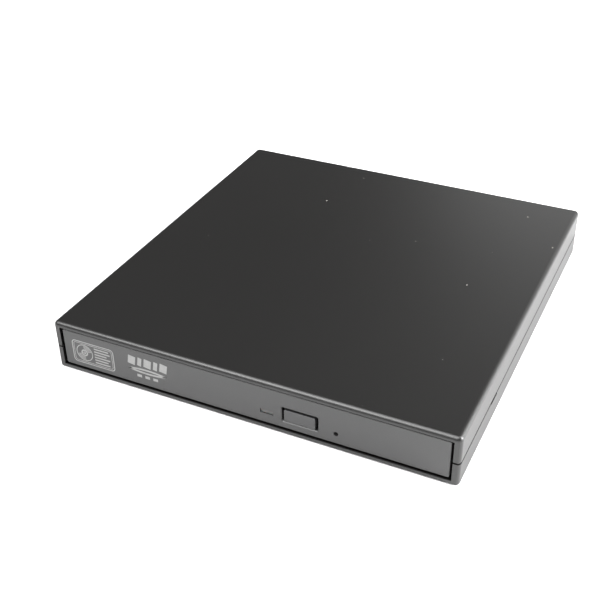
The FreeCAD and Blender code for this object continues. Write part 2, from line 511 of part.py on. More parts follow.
def tray_blank():
    """Tray with its skirt, rail channels, posts and keepers, before anything is cut."""
    root = DECK_BOTTOM + BITE
    deck = box(-DECK_HALF, DECK_HALF, TRAY_FRONT, TRAY_BACK, TRAY_CORE_TOP, DECK_TOP)
    floor = box(-FLOOR_HALF, FLOOR_HALF, TRAY_FRONT, TRAY_BACK, DECK_BOTTOM, TRAY_CORE_TOP)
    lip = box(-LIP_HALF, LIP_HALF, RAIL_Y0 - CUT, TRAY_BACK, RAIL_Z1 + 0.2, TRAY_CORE_TOP)
    skirt = box(SKIRT_HALF, FLOOR_HALF, TRAY_FRONT, TRAY_BACK, SKIRT_BOTTOM, root)
    foot_lip = box(SKIRT_HALF, LIP_HALF, RAIL_Y0 - CUT, TRAY_BACK, CHANNEL_Z0, CHANNEL_Z0 + CHANNEL_LIP)
    front = box(-FLOOR_HALF, FLOOR_HALF, TRAY_FRONT, TRAY_FRONT + TRAY_WALL, SKIRT_BOTTOM, root)
    pusher_back = EJECTOR_Y0 - 4.8
    pusher = box(EJECTOR_X - PUSHER_HALF, SKIRT_HALF + BITE, pusher_back - PUSHER_T, pusher_back,
                 SKIRT_BOTTOM, root)
    adds = [floor, lip, front, pusher] + both_sides(skirt) + both_sides(foot_lip)
    for x, y in UNDER_POSTS:
        adds.append(rod(x, y, UNDER_COVER_Z + COVER_SHEET, root, UNDER_POST_R))
    for y in KEEPER_YS:
        for offset in KEEPER_XS:
            x0 = RELEASE_X + offset
            adds.append(box(x0, x0 + KEEPER_T, y, y + KEEPER_D, KEEPER_Z, root))
    adds.append(rod(PIVOT_X, PIVOT_Y, CRANK_Z0 - 0.6, root, PIVOT_R))
    return fuse(deck, *adds)


def tray_front_holes():
    """Openings in the tray's front wall for the button, the light, the pin and the panel's hooks."""
    y0, y1 = TRAY_FRONT - CUT, TRAY_FRONT + TRAY_WALL + BITE
    holes = [box(BUTTON_X - 7.2, BUTTON_X + 7.2, y0, y1, BUTTON_Z - 2.4, BUTTON_Z + 2.2),
             box(LIGHT_X - 2.4, LIGHT_X + 2.4, y0, y1, LIGHT_Z - 1.0, LIGHT_Z + 1.0),
             rod_y(RELEASE_X, y0, y1, RELEASE_Z, RELEASE_R + 0.2)]
    for x in HOOK_XS:
        holes.append(box(x - HOOK_HALF - BITE, x + HOOK_HALF + BITE, y0, y1, HOOK_Z0 - BITE, 6.0))
    return holes


def make_tray():
    """Tray moulding with its disc recess, and the sheet under it."""
    tray = tray_blank()
    tray = tray.cut(rod(0, SPINDLE_Y, DECK_FLOOR, DECK_TOP + CUT, DISC_RECESS_R))
    ring = rod(0, SPINDLE_Y, DECK_FLOOR - RING_DEPTH, DECK_TOP, SMALL_DISC_R)
    ring = ring.cut(rod(0, SPINDLE_Y, DECK_FLOOR - CUT, DECK_TOP + CUT, SMALL_DISC_R - RING_W))
    tray = tray.cut(ring).cut(deck_opening())
    for u, v in DAMPERS:
        pilot = rod(u, v, DECK_BOTTOM - BITE, DAMPER_HOLE_TOP, DAMPER_SHANK_R + SCREW_FIT)
        tray = tray.cut(on_mechanism(pilot))
    for x, y in UNDER_POSTS:
        tray = tray.cut(rod(x, y, 0, UNDER_HOLE_TOP, UNDER_HOLE_R))
    for hole in tray_front_holes():
        tray = tray.cut(hole)
    add("tray", tray)

    under = prism(UNDER_OUTLINE, UNDER_COVER_Z, UNDER_COVER_Z + COVER_SHEET)
    for x, y in UNDER_POSTS:
        under = under.cut(rod(x, y, 0, UNDER_HOLE_TOP, UNDER_HOLE_R))
    add("tray_under_cover", under)
    add("under_cover_screws", *[screw(x, y, UNDER_COVER_Z - UNDER_HEAD_H, UNDER_HEAD_H, UNDER_HEAD_R,
                                      UNDER_SCREW_TIP, UNDER_SHANK_R) for x, y in UNDER_POSTS])


def make_bezel():
    """Front panel, its light pipe and the eject button."""
    half, wall = BEZEL_W / 2, 1.3
    plate_back = BEZEL_FRONT + BEZEL_PLATE
    wall_back = BEZEL_BACK + TRAY_WALL
    panel = round_panel(-half, half, BEZEL_FRONT, BEZEL_BACK, DRIVE_Z, BEZEL_TOP, 0.5)
    panel = panel.makeFillet(0.3, edges_at_y(panel, BEZEL_FRONT))
    hollow = box(-half + wall, half - wall, plate_back, BEZEL_BACK + CUT, DRIVE_Z + wall, BEZEL_TOP - wall)
    panel = panel.cut(hollow)
    adds = []
    for x in HOOK_XS:
        x0, x1 = x - HOOK_HALF, x + HOOK_HALF
        tip_y0, tip_y1 = wall_back + BITE, wall_back + BITE + HOOK_TIP_T
        adds.append(box(x0, x1, plate_back - BITE, BEZEL_BACK, HOOK_TOP, FACE_PAD_TOP))
        adds.append(box(x0, x1, plate_back - BITE, tip_y1, HOOK_Z0, HOOK_Z1))
        adds.append(box(x0, x1, tip_y0, tip_y1, HOOK_Z1 - BITE, HOOK_TOP))
    panel = fuse(panel, *adds)
    hole_z = BUTTON_Z + BUTTON_HOLE_RISE
    panel = panel.cut(round_panel(BUTTON_X - BUTTON_HOLE_W / 2, BUTTON_X + BUTTON_HOLE_W / 2,
                                  BEZEL_FRONT - CUT, BEZEL_BACK, hole_z - BUTTON_HOLE_H / 2,
                                  hole_z + BUTTON_HOLE_H / 2, BUTTON_HOLE_R))
    rim = [edge for edge in edges_at_y(panel, BEZEL_FRONT)
           if abs(edge.CenterOfMass.x - BUTTON_X) < BUTTON_HOLE_W / 2 + BUTTON_CHAMFER]
    panel = panel.makeChamfer(BUTTON_CHAMFER, rim)
    light_half_w, light_half_h = LIGHT_W / 2, LIGHT_H / 2
    window_w, window_h = light_half_w + LIGHT_GAP, light_half_h + LIGHT_GAP
    panel = panel.cut(box(LIGHT_X - window_w, LIGHT_X + window_w, BEZEL_FRONT - CUT, BEZEL_BACK,
                          LIGHT_Z - window_h, LIGHT_Z + window_h))
    panel = panel.cut(rod_y(RELEASE_X, BEZEL_FRONT - CUT, BEZEL_BACK, RELEASE_Z, RELEASE_R))
    add("front_bezel", panel)
    add("light_pipe", round_panel(LIGHT_X - light_half_w, LIGHT_X + light_half_w, BEZEL_FRONT + LIGHT_RECESS,
                                  LIGHT_BACK, LIGHT_Z - light_half_h, LIGHT_Z + light_half_h, 0.3))

    face_y = BEZEL_FRONT - BUTTON_PROUD
    flange_y0, flange_y1 = plate_back + 0.2, plate_back + CUT
    face = round_panel(BUTTON_X - BUTTON_W / 2, BUTTON_X + BUTTON_W / 2, face_y, flange_y0 + BITE,
                       BUTTON_Z - BUTTON_H / 2, BUTTON_Z + BUTTON_H / 2, BUTTON_R)
    face = face.makeFillet(0.2, edges_at_y(face, face_y))
    flange = box(BUTTON_X - BUTTON_FLANGE_X, BUTTON_X + BUTTON_FLANGE_X, flange_y0, flange_y1,
                 BUTTON_Z - BUTTON_FLANGE_Z, BUTTON_Z + BUTTON_FLANGE_Z)
    stem = rod_y(BUTTON_X, flange_y1 - BITE, BUTTON_STEM_BACK, SWITCH_Z, BUTTON_STEM_R)
    add("eject_button", fuse(face, flange, stem))


# ---------------------------------------------------------------- mechanism under the tray
FRAME_OUTLINE = ((-16.5, -15.0), (52.0, -15.0), (69.3, -13.2), (69.3, 13.2), (-16.5, 13.2))
HOLDER_U, HOLDER_HALF, HOLDER_DROP = 1.4, 1.6, 1.4
DAMPER_FLANGE, DAMPER_HEAD_R, DAMPER_HEAD_H, DAMPER_SCREW_Z = 0.7, 1.9, 0.8, 5.4
SHIELD_Z0, SHIELD_Z1, SHIELD_R, SHIELD_REACH = 8.75, 9.05, 16.2, 9.4
SHIELD_LEG_U0, SHIELD_LEG_U1, SHIELD_SLOT_U0, SHIELD_SLOT_U1, SHIELD_SLOT_V = 22.0, 60.0, 17.5, 63.2, 5.5
STRIP_Z0, STRIP_Z1, STRIP_HALF, EAR_T, EAR_RISE = 3.65, 4.0, 1.9, 0.6, 2.1
MOTOR_SOCKET = 1.5


def make_traverse():
    """Cast frame with the rods, dampers, shield and drive screw of the optical sled."""
    frame = prism(FRAME_OUTLINE, FRAME_Z0, FRAME_Z1)
    holders = []
    for u0 in (ROD_U0, ROD_U1 - HOLDER_U):
        for v in (-ROD_V, ROD_V):
            holders.append(box(u0, u0 + HOLDER_U, v - HOLDER_HALF, v + HOLDER_HALF,
                               ROD_Z - HOLDER_DROP, FRAME_Z0 + BITE))
    frame = fuse(frame, *holders)
    frame = frame.cut(box(WINDOW_U0, WINDOW_U1, -WINDOW_V, WINDOW_V, 0, THROUGH))
    frame = frame.cut(rod(0, 0, 0, THROUGH, ROTOR_R + 0.6))
    rods = []
    for v in (-ROD_V, ROD_V):
        frame = frame.cut(rod_x(ROD_U0 - CUT, ROD_U1 + CUT, v, ROD_Z, ROD_R))
        rods.append(on_mechanism(rod_x(ROD_U0, ROD_U1, v, ROD_Z, ROD_R)))
    rubbers, screws = [], []
    for u, v in DAMPERS:
        frame = frame.cut(rod(u, v, 0, THROUGH, DAMPER_NECK_R))
        rubber = fuse(rod(u, v, FRAME_Z1, DECK_BOTTOM, DAMPER_R),
                      rod(u, v, FRAME_Z0, FRAME_Z1, DAMPER_NECK_R),
                      rod(u, v, FRAME_Z0 - DAMPER_FLANGE, FRAME_Z0, DAMPER_R))
        rubbers.append(on_mechanism(rubber.cut(rod(u, v, 0, THROUGH, DAMPER_BORE_R))))
        screws.append(on_mechanism(screw(u, v, DAMPER_SCREW_Z, DAMPER_HEAD_H, DAMPER_HEAD_R,
                                         DAMPER_SCREW_TIP, DAMPER_SHANK_R)))
    add("traverse_frame", on_mechanism(frame))
    add("guide_rods", *rods)
    add("dampers", *rubbers)
    add("damper_screws", *screws)

    shield = rod(0, 0, SHIELD_Z0, SHIELD_Z1, SHIELD_R)
    shield = shield.fuse(box(0, WINDOW_U1 - 0.3, -SHIELD_REACH, SHIELD_REACH, SHIELD_Z0, SHIELD_Z1))
    legs = [box(SHIELD_LEG_U0, SHIELD_LEG_U1, v, v + COVER_SHEET, FRAME_Z1, SHIELD_Z0 + BITE)
            for v in (-SHIELD_REACH, SHIELD_REACH - COVER_SHEET)]
    shield = fuse(shield, *legs)
    shield = shield.cut(rod(0, 0, 0, THROUGH, ROTOR_R + 0.5))
    shield = shield.cut(box(SHIELD_SLOT_U0, SHIELD_SLOT_U1, -SHIELD_SLOT_V, SHIELD_SLOT_V, 0, THROUGH))
    add("traverse_shield", on_mechanism(shield))

    screw_hole = rod_x(SCREW_U0 - MOTOR_SOCKET, SCREW_U1 + CUT, SCREW_V, SCREW_Z, SCREW_R + RUNNING)
    motor = rod_x(SLED_MOTOR_U0, SCREW_U0, SCREW_V, SCREW_Z, SLED_MOTOR_R)
    add("sled_motor", on_mechanism(motor.cut(screw_hole)))
    v0, v1 = SCREW_V - STRIP_HALF, SCREW_V + STRIP_HALF
    bracket = box(SCREW_U0, SCREW_U1 + EAR_T, v0, v1, STRIP_Z0, STRIP_Z1)
    ears = [box(u, u + EAR_T, v0, v1, STRIP_Z0, SCREW_Z + EAR_RISE) for u in (SCREW_U0, SCREW_U1)]
    add("screw_bracket", on_mechanism(fuse(bracket, *ears).cut(screw_hole)))
    screw_rod = rod_x(SCREW_U0 - MOTOR_SOCKET + 0.3, SCREW_U1 + EAR_T, SCREW_V, SCREW_Z, SCREW_R)
    add("leadscrew", on_mechanism(screw_rod))


NUT_U0, NUT_U1, NUT_DROP, NUT_RISE, NUT_ARM_RISE = LENS_R0 - 4.0, LENS_R0 - 0.5, 1.3, 1.2, 0.6
POCKET_U, POCKET_V, POCKET_Z = 5.6, 5.0, 7.3
HOLDER_REACH, HOLDER_V, HOLDER_Z0, HOLDER_Z1, HOLDER_CORNER = 5.2, 4.6, 7.8, 8.9, 0.8
LENS_R, LENS_DOME_R, LENS_TOP, LENS_BOTTOM = 2.3, 4.2, 9.2, 8.1


def make_sled():
    """Optical sled with its nut, and the lens holder that floats on it."""
    u0, u1 = LENS_R0 - SLED_IN, LENS_R0 + SLED_OUT
    step, waist = 0.5, 8.0
    sled = fuse(box(u0, u1, -SLED_HALF, SLED_HALF, SLED_Z0, SLED_Z1),
                box(u0 + step, u1 - step, -waist, waist, SLED_Z1 - BITE, SLED_TOP))
    for v in (-ROD_V, ROD_V):
        sled = sled.cut(rod_x(u0 - CUT, u1 + CUT, v, ROD_Z, ROD_R + RUNNING))
    sled = sled.cut(box(LENS_R0 - POCKET_U, LENS_R0 + POCKET_U, -POCKET_V, POCKET_V,
                        POCKET_Z, SLED_TOP + CUT))
    add("pickup_sled", on_mechanism(sled))
    nut = box(NUT_U0, NUT_U1, SLED_HALF, SCREW_V + 1.8, SCREW_Z - NUT_DROP, SCREW_Z + NUT_RISE)
    nut = nut.cut(rod_x(NUT_U0 - CUT, NUT_U1 + CUT, SCREW_V, SCREW_Z, SCREW_R + RUNNING))
    arm = box(NUT_U0, NUT_U1, SLED_HALF, SCREW_V - 1.6, SCREW_Z - NUT_DROP, SCREW_Z + NUT_ARM_RISE)
    add("lead_nut", on_mechanism(nut.fuse(arm).removeSplitter()))
    holder = round_plate(LENS_R0 - HOLDER_REACH, LENS_R0 + HOLDER_REACH, -HOLDER_V, HOLDER_V,
                         HOLDER_Z0, HOLDER_Z1, HOLDER_CORNER)
    holder = holder.cut(rod(LENS_R0, 0, 0, THROUGH, LENS_R))
    add("lens_holder", on_mechanism(holder))
    dome = Part.makeSphere(LENS_DOME_R, V(LENS_R0, 0, LENS_TOP - LENS_DOME_R))
    add("objective_lens", on_mechanism(dome.common(rod(LENS_R0, 0, LENS_BOTTOM, LENS_TOP + CUT, LENS_R))))


BASE_EAR_R, BASE_POST_R, BASE_EAR_ANGLES = 17.0, 1.2, (172.0, -118.0, -45.0)
BEARING_R, BEARING_TOP = 3.2, 7.65
POLES, POLE_R, POLE_HALF, POLE_Z0, POLE_Z1 = 9, 12.4, 1.1, 4.75, 7.2
CORE_R, CORE_BORE_R, CORE_Z0, CORE_Z1 = 5.0, 3.25, 4.65, 7.4
SEAT_Z, SEAT_RUBBER_R, SEAT_RUBBER_BORE_R = DISC_BOTTOM_Z - 0.8, 13.6, 9.8
SHAFT_TOP = HUB_TOP - 0.8
CLAWS, CLAW_GAP, CLAW_SLOT_IN, CLAW_TIP_Z0, CLAW_TIP_Z1 = 3, 0.1, 3.4, 11.7, 12.1


def turned(shape, angle):
    """A copy of a piece turned about the upright axis through the origin."""
    copy = shape.copy()
    copy.rotate(V(0, 0, 0), UP, angle)
    return copy


def make_spindle():
    """Disc motor: base, stator and rotor, with the rubber seat and three sprung claws."""
    base = rod(0, 0, MOTOR_BASE_Z0, MOTOR_BASE_Z1, MOTOR_BASE_R)
    adds = [rod(0, 0, MOTOR_BASE_Z1 - BITE, BEARING_TOP, BEARING_R)]
    ear = box(MOTOR_BASE_R - 2.0, BASE_EAR_R, -BASE_POST_R, BASE_POST_R, MOTOR_BASE_Z0, MOTOR_BASE_Z1)
    ear_post = rod(BASE_EAR_R, 0, MOTOR_BASE_Z0, FRAME_Z0, BASE_POST_R)
    for angle in BASE_EAR_ANGLES:
        adds += [turned(ear, angle), turned(ear_post, angle)]
    base = fuse(base, *adds).cut(rod(0, 0, MOTOR_BASE_Z0 + 0.2, THROUGH, SHAFT_R + RUNNING))
    add("motor_base", on_mechanism(base))
    pole = box(CORE_R - CUT, POLE_R, -POLE_HALF, POLE_HALF, POLE_Z0, POLE_Z1)
    poles = [turned(pole, i * 360.0 / POLES) for i in range(POLES)]
    stator = fuse(rod(0, 0, CORE_Z0, CORE_Z1, CORE_R), *poles)
    add("stator", on_mechanism(stator.cut(rod(0, 0, 0, THROUGH, CORE_BORE_R))))

    can = rod(0, 0, ROTOR_Z0, ROTOR_Z1, ROTOR_R)
    can = can.cut(rod(0, 0, ROTOR_Z0 - CUT, ROTOR_Z1 - ROTOR_ROOF, ROTOR_R - ROTOR_WALL))
    add("rotor_can", on_mechanism(can.cut(rod(0, 0, 0, THROUGH, SHAFT_R))))
    add("spindle_shaft", on_mechanism(rod(0, 0, MOTOR_BASE_Z0 + 0.3, SHAFT_TOP, SHAFT_R)))
    hub = rod(0, 0, SEAT_Z - BITE, HUB_TOP, HUB_R)
    hub = hub.makeFillet(0.9, edges_at_z(hub, HUB_TOP))
    table = fuse(rod(0, 0, ROTOR_Z1, SEAT_Z, ROTOR_R), hub).cut(rod(0, 0, 0, SHAFT_TOP, SHAFT_R))
    rubber = rod(0, 0, SEAT_Z, DISC_BOTTOM_Z, SEAT_RUBBER_R).cut(rod(0, 0, 0, THROUGH, SEAT_RUBBER_BORE_R))
    half = CLAW_W / 2
    slot = box(CLAW_SLOT_IN, HUB_R + CUT, -half - CLAW_GAP, half + CLAW_GAP,
               CLAW_Z0 - CLAW_GAP, CLAW_Z1 + CLAW_GAP)
    claw = fuse(box(CLAW_IN, CLAW_OUT, -half, half, CLAW_Z0, CLAW_Z1),
                box(CLAW_OUT - BITE, CLAW_TIP, -half, half, CLAW_TIP_Z0, CLAW_TIP_Z1))
    for i in range(CLAWS):
        angle = i * 360.0 / CLAWS
        table = table.cut(turned(slot, angle))
        add("disc_claw_%d" % (i + 1), on_mechanism(turned(claw, angle)))
    add("turntable", on_mechanism(table))
    add("disc_rubber", on_mechanism(rubber))


# ---------------------------------------------------------------- latch and electronics
def make_latch():
    """Bell crank that grips the post, its solenoid and the emergency release bar."""
    reach = math.hypot(POST_X - PIVOT_X, POST_Y - PIVOT_Y) - POST_R - HOOK_GAP
    tip_y = PIVOT_Y - reach
    arm_x0, arm_x1 = PIVOT_X - CRANK_HALF, PIVOT_X + CRANK_HALF
    arm_y0, arm_y1 = PIVOT_Y - CRANK_HALF, PIVOT_Y + CRANK_HALF
    crank = fuse(box(arm_x0, arm_x1, tip_y, arm_y1, CRANK_Z0, CRANK_Z1),
                 box(PIVOT_X, POST_X + HOOK_REACH, tip_y, tip_y + HOOK_T, CRANK_Z0, CRANK_Z1),
                 box(RELEASE_X, PIVOT_X, arm_y0, arm_y1, CRANK_Z0, CRANK_Z1),
                 rod(PIVOT_X, PIVOT_Y, CRANK_Z0, CRANK_Z1, CRANK_EYE_R))
    crank = crank.common(rod(PIVOT_X, PIVOT_Y, CRANK_Z0, CRANK_Z1, reach))
    add("latch_crank", crank.cut(rod(PIVOT_X, PIVOT_Y, 0, THROUGH, PIVOT_R + RUNNING)))
    coil = box(SOLENOID_X0, SOLENOID_X1, PLUNGER_Y - SOLENOID_HALF, PLUNGER_Y + SOLENOID_HALF,
               UNDER_COVER_Z + 0.4, DECK_BOTTOM - 0.2)
    bore = rod_x(SOLENOID_X0 + CUT, SOLENOID_X1 + CUT, PLUNGER_Y, PLUNGER_Z, PLUNGER_R + RUNNING)
    add("solenoid", coil.cut(bore))
    add("solenoid_plunger", rod_x(PLUNGER_X0, PLUNGER_X1, PLUNGER_Y, PLUNGER_Z, PLUNGER_R))
    add("release_bar", box(RELEASE_X - BAR_HALF, RELEASE_X + BAR_HALF, BAR_FRONT, arm_y0 - BITE,
                           RELEASE_Z - BAR_HALF, RELEASE_Z + BAR_HALF))


# X and Y ranges of the three arms of the tray's board: front, right and rear
BOARD_ARMS = (((2.0, 27.0), (-64.4, -37.0)), ((23.0, 41.0), (-37.0, 43.5)), ((-58.6, 41.0), (34.0, 43.5)))
# corner, width, depth and height of each chip
CHIPS = ((24.0, 6.0, 16.0, 16.0, 1.0), (25.5, -22.0, 13.0, 10.0, 1.0), (4.0, -52.0, 8.0, 8.0, 0.9))
SWITCH_HALF, SWITCH_FRONT, SWITCH_BACK, SWITCH_TOP = 2.3, -64.1, -60.8, BUTTON_Z + 0.9
SWITCH_NOSE, SWITCH_NOSE_R = 0.4, 0.9
LED_HALF, LED_FRONT, LED_BACK, LED_TOP = 1.6, -64.5, -63.0, LIGHT_Z + 0.6
FLEX_BOARD_END = 50.0


def make_tray_electronics():
    """Control board on the tray with its chips, push switch and light."""
    top = TRAY_BOARD_Z + BOARD_T
    arms = [box(x0, x1, y0, y1, TRAY_BOARD_Z, top) for (x0, x1), (y0, y1) in BOARD_ARMS]
    add("tray_board", fuse(*arms))
    add("tray_chips", *[box(x, x + w, y, y + d, top, top + h) for x, y, w, d, h in CHIPS])
    switch = box(BUTTON_X - SWITCH_HALF, BUTTON_X + SWITCH_HALF, SWITCH_FRONT, SWITCH_BACK, top, SWITCH_TOP)
    nose = rod_y(BUTTON_X, SWITCH_FRONT - SWITCH_NOSE, SWITCH_FRONT + BITE, SWITCH_Z, SWITCH_NOSE_R)
    add("eject_switch", switch.fuse(nose).removeSplitter())
    add("status_led", box(LIGHT_X - LED_HALF, LIGHT_X + LED_HALF, LED_FRONT, LED_BACK, top, LED_TOP))


def make_flex():
    """Flat cable: a low run from the fixed board, a fold, and a high run to the tray's board."""
    board_z = REAR_BOARD_Z + BOARD_T
    low = box(FLEX_X0, FLEX_X1, FLEX_FOLD_Y, FLEX_FIXED_Y, FLEX_LOW_Z, FLEX_LOW_Z + FLEX_T)
    riser = box(FLEX_X0, FLEX_X1, FLEX_FIXED_Y - FLEX_T, FLEX_FIXED_Y, FLEX_LOW_Z, board_z + FLEX_T)
    board_end = box(FLEX_X0, FLEX_X1, FLEX_FIXED_Y - FLEX_T, FLEX_BOARD_END, board_z, board_z + FLEX_T)
    high = box(FLEX_X0, FLEX_X1, FLEX_FOLD_Y, FLEX_TRAY_Y, FLEX_HIGH_Z, FLEX_HIGH_Z + FLEX_T)
    outer_r = (FLEX_HIGH_Z + FLEX_T - FLEX_LOW_Z) / 2
    centre_z = FLEX_LOW_Z + outer_r
    fold = rod_x(FLEX_X0, FLEX_X1, FLEX_FOLD_Y, centre_z, outer_r)
    fold = fold.cut(rod_x(FLEX_X0 - CUT, FLEX_X1 + CUT, FLEX_FOLD_Y, centre_z, outer_r - FLEX_T))
    fold = fold.common(box(FLEX_X0, FLEX_X1, FLEX_FOLD_Y - 2 * outer_r, FLEX_FOLD_Y, 0, THROUGH))
    add("flex_cable", fuse(low, riser, board_end, high, fold))


def main():
    """Build every node and write one STEP file for each."""
    make_case()
    make_bridge()
    make_chassis()
    make_rails()
    make_tray()
    make_bezel()
    make_traverse()
    make_sled()
    make_spindle()
    make_latch()
    make_tray_electronics()
    make_flex()
    os.makedirs("parts", exist_ok=True)
    for name, shape in PARTS.items():
        if not shape.isValid():
            print("not valid:", name)
        shape.exportStep("parts/%s.step" % name)
    print(len(PARTS), "nodes")


main()
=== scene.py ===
"""Looks of a slim external optical drive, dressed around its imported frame.

The scene is in metres and the surfaces made here are in millimetres, +Z up, with the front panel towards -Y.
"""

from __future__ import annotations

import functools
import logging
import math
from dataclasses import dataclass
from enum import Enum
from typing import Callable, Optional, Sequence

import bpy
import numpy as np
from mathutils import Matrix, Vector


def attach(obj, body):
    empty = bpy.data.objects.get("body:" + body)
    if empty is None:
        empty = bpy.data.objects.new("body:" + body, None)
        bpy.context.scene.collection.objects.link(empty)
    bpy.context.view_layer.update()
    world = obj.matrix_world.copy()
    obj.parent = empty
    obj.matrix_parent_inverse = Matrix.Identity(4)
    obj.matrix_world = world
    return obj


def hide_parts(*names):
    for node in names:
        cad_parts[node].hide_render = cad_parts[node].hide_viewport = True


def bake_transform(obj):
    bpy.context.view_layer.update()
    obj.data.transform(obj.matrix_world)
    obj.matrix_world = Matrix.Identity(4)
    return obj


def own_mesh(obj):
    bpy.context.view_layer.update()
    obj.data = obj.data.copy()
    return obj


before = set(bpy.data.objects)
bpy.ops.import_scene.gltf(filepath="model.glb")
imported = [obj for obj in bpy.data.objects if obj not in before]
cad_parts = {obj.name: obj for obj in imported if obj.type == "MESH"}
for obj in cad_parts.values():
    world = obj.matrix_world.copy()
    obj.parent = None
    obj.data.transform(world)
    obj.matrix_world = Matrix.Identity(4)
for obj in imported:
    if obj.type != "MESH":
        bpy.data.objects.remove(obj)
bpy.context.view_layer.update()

MM = 0.001
LOG = logging.getLogger("optical_drive")
Pair = tuple[float, float]
Triple = tuple[float, float, float]
Color = Triple
Array = np.ndarray
Material = bpy.types.Material
Node = bpy.types.Node
Socket = bpy.types.NodeSocket
Tree = bpy.types.NodeTree


# ---------------------------------------------------------------- node helpers
MIX_FIRST, MIX_SECOND, MIX_RESULT = 6, 7, 2  # where a Mix node keeps its colour sockets


class Graph:
    """A small builder around a shader tree."""

    def __init__(self, tree: Tree) -> None:
        """Keep the tree and empty it."""
        self.tree = tree
        tree.nodes.clear()

    def put(self, node: Node, name: str | int, value: object) -> None:
        """Link or set one input socket.

        Args:
            node: the node that has the socket.
            name: the socket's name or index.
            value: an output socket to link, or a plain value.
        """
        socket = node.inputs[name]
        if isinstance(value, Socket):
            self.tree.links.new(value, socket)
        else:
            socket.default_value = value

    def set(self, node: Node, **values: object) -> Node:
        """Set properties and input sockets of a node.

        Args:
            node: the node.
            values: a property in lower case, or a socket by name with underscores for spaces.

        Returns:
            The same node.
        """
        for key, value in values.items():
            if hasattr(node, key):
                setattr(node, key, value)
            else:
                self.put(node, key.replace("_", " "), value)
        return node

    def add(self, kind: str, *inputs: object, **values: object) -> Node:
        """Add a node.

        Args:
            kind: the node's type without the ShaderNode prefix.
            inputs: values of its first sockets, in order.
            values: properties and sockets, as for set.

        Returns:
            The new node.
        """
        node = self.set(self.tree.nodes.new("ShaderNode" + kind), **values)
        for index, value in enumerate(inputs):
            self.put(node, index, value)
        return node

    def math(self, operation: str, a: object, b: object = 0.0, clamp: bool = False) -> Socket:
        """One Math node."""
        return self.add("Math", a, b, operation=operation, use_clamp=clamp).outputs[0]

    def ramp(self, base: object, value: object, gain: object, clamp: bool = False) -> Socket:
        """base + value * gain."""
        return self.math("ADD", base, self.math("MULTIPLY", value, gain), clamp)

    def swing(self, value: object, amount: object) -> Socket:
        """(value - 1/2) * amount: a change to either side of nothing."""
        return self.math("MULTIPLY", self.math("SUBTRACT", value, 0.5), amount)

    def average(self, a: object, b: object, share: float) -> Socket:
        """a * (1 - share) + b * share."""
        return self.ramp(self.math("MULTIPLY", a, 1.0 - share), b, share)

    def span(self, value: object, low: float, high: float) -> Socket:
        """Smooth step from 0 to 1."""
        return self.add("MapRange", value, low, high, interpolation_type="SMOOTHSTEP").outputs[0]

    def mix(self, factor: object, a: object, b: object) -> Socket:
        """Mix two colours.

        Args:
            factor: how much of b.
            a: first colour.
            b: second colour.

        Returns:
            The mixed colour.
        """
        node = self.add("Mix", factor, data_type="RGBA")
        self.put(node, MIX_FIRST, a)
        self.put(node, MIX_SECOND, b)
        return node.outputs[MIX_RESULT]

    def scaled(self, color: object, gain: object) -> Socket:
        """A colour times a number."""
        return self.add("VectorMath", color, operation="SCALE", Scale=gain).outputs[0]

    def place(self, stretch: Optional[Triple] = None) -> Socket:
        """Object coordinates, stretched if asked."""
        spot = self.add("TexCoord").outputs["Object"]
        return spot if stretch is None else self.add("Mapping", Vector=spot, Scale=stretch).outputs[0]

    def noise(self, scale: object, detail: float = 2.0, stretch: Optional[Triple] = None) -> Socket:
        """Noise on object coordinates."""
        return self.add("TexNoise", Vector=self.place(stretch), Scale=scale, Detail=detail).outputs["Fac"]

    def cells(self, where: Socket, scale: object, **values: object) -> tuple[Socket, Socket, Socket, Socket]:
        """Round or square cells, with three random numbers for each.

        Args:
            where: the coordinates.
            scale: cells per metre.
            values: properties, as for set.

        Returns:
            The distance to the cell's middle, then its three random numbers.
        """
        node = self.add("TexVoronoi", Vector=where, Scale=scale, **values)
        picks = self.add("SeparateColor", node.outputs["Color"]).outputs
        return node.outputs["Distance"], picks[0], picks[1], picks[2]


# ---------------------------------------------------------------- node groups
Sockets = bpy.types.NodeOutputs
Fill = Callable[[Graph, Sockets, Node], None]
SOCKET_KINDS = {1: "NodeSocketFloat", 3: "NodeSocketVector", 4: "NodeSocketColor"}
SURFACE = ("Color", "Roughness", "Height")
DARK = (0.02, 0.02, 0.02, 1.0)
GREY = (0.6, 0.6, 0.6, 1.0)
LOOKS_UP = (0.6, 0.9)
MELT_STRETCH = (1.0, 0.45, 1.0)
BRUSH_STRETCH = (0.04, 1.0, 1.0)


def shader_group(*outputs: str, **inputs: object) -> Callable[[Fill], Callable[[], Tree]]:
    """Turn a function that wires a node group into one that makes the group once.

    Args:
        outputs: names of the outputs. Color is a colour, and the others are numbers.
        inputs: default of each input, with underscores for spaces in its name. One number makes a number
            socket, three a vector and four a colour.

    Returns:
        The decorator.
    """

    def wrap(fill: Fill) -> Callable[[], Tree]:
        """Decorate one function.

        Args:
            fill: what wires the group, from its graph, its input sockets and its output node.

        Returns:
            The function that gives the group.
        """

        @functools.cache
        def group() -> Tree:
            """Make the group under the name of the function.

            Returns:
                The group.
            """
            tree = bpy.data.node_groups.new(fill.__name__, "ShaderNodeTree")
            for name, value in inputs.items():
                label, kind = name.replace("_", " "), SOCKET_KINDS[np.size(value)]
                socket = tree.interface.new_socket(name=label, in_out="INPUT", socket_type=kind)
                socket.default_value = value
            for name in outputs:
                kind = SOCKET_KINDS[4 if name == "Color" else 1]
                tree.interface.new_socket(name=name, in_out="OUTPUT", socket_type=kind)
            graph = Graph(tree)
            source = tree.nodes.new("NodeGroupInput")
            fill(graph, source.outputs, tree.nodes.new("NodeGroupOutput"))
            return tree

        return group

    return wrap


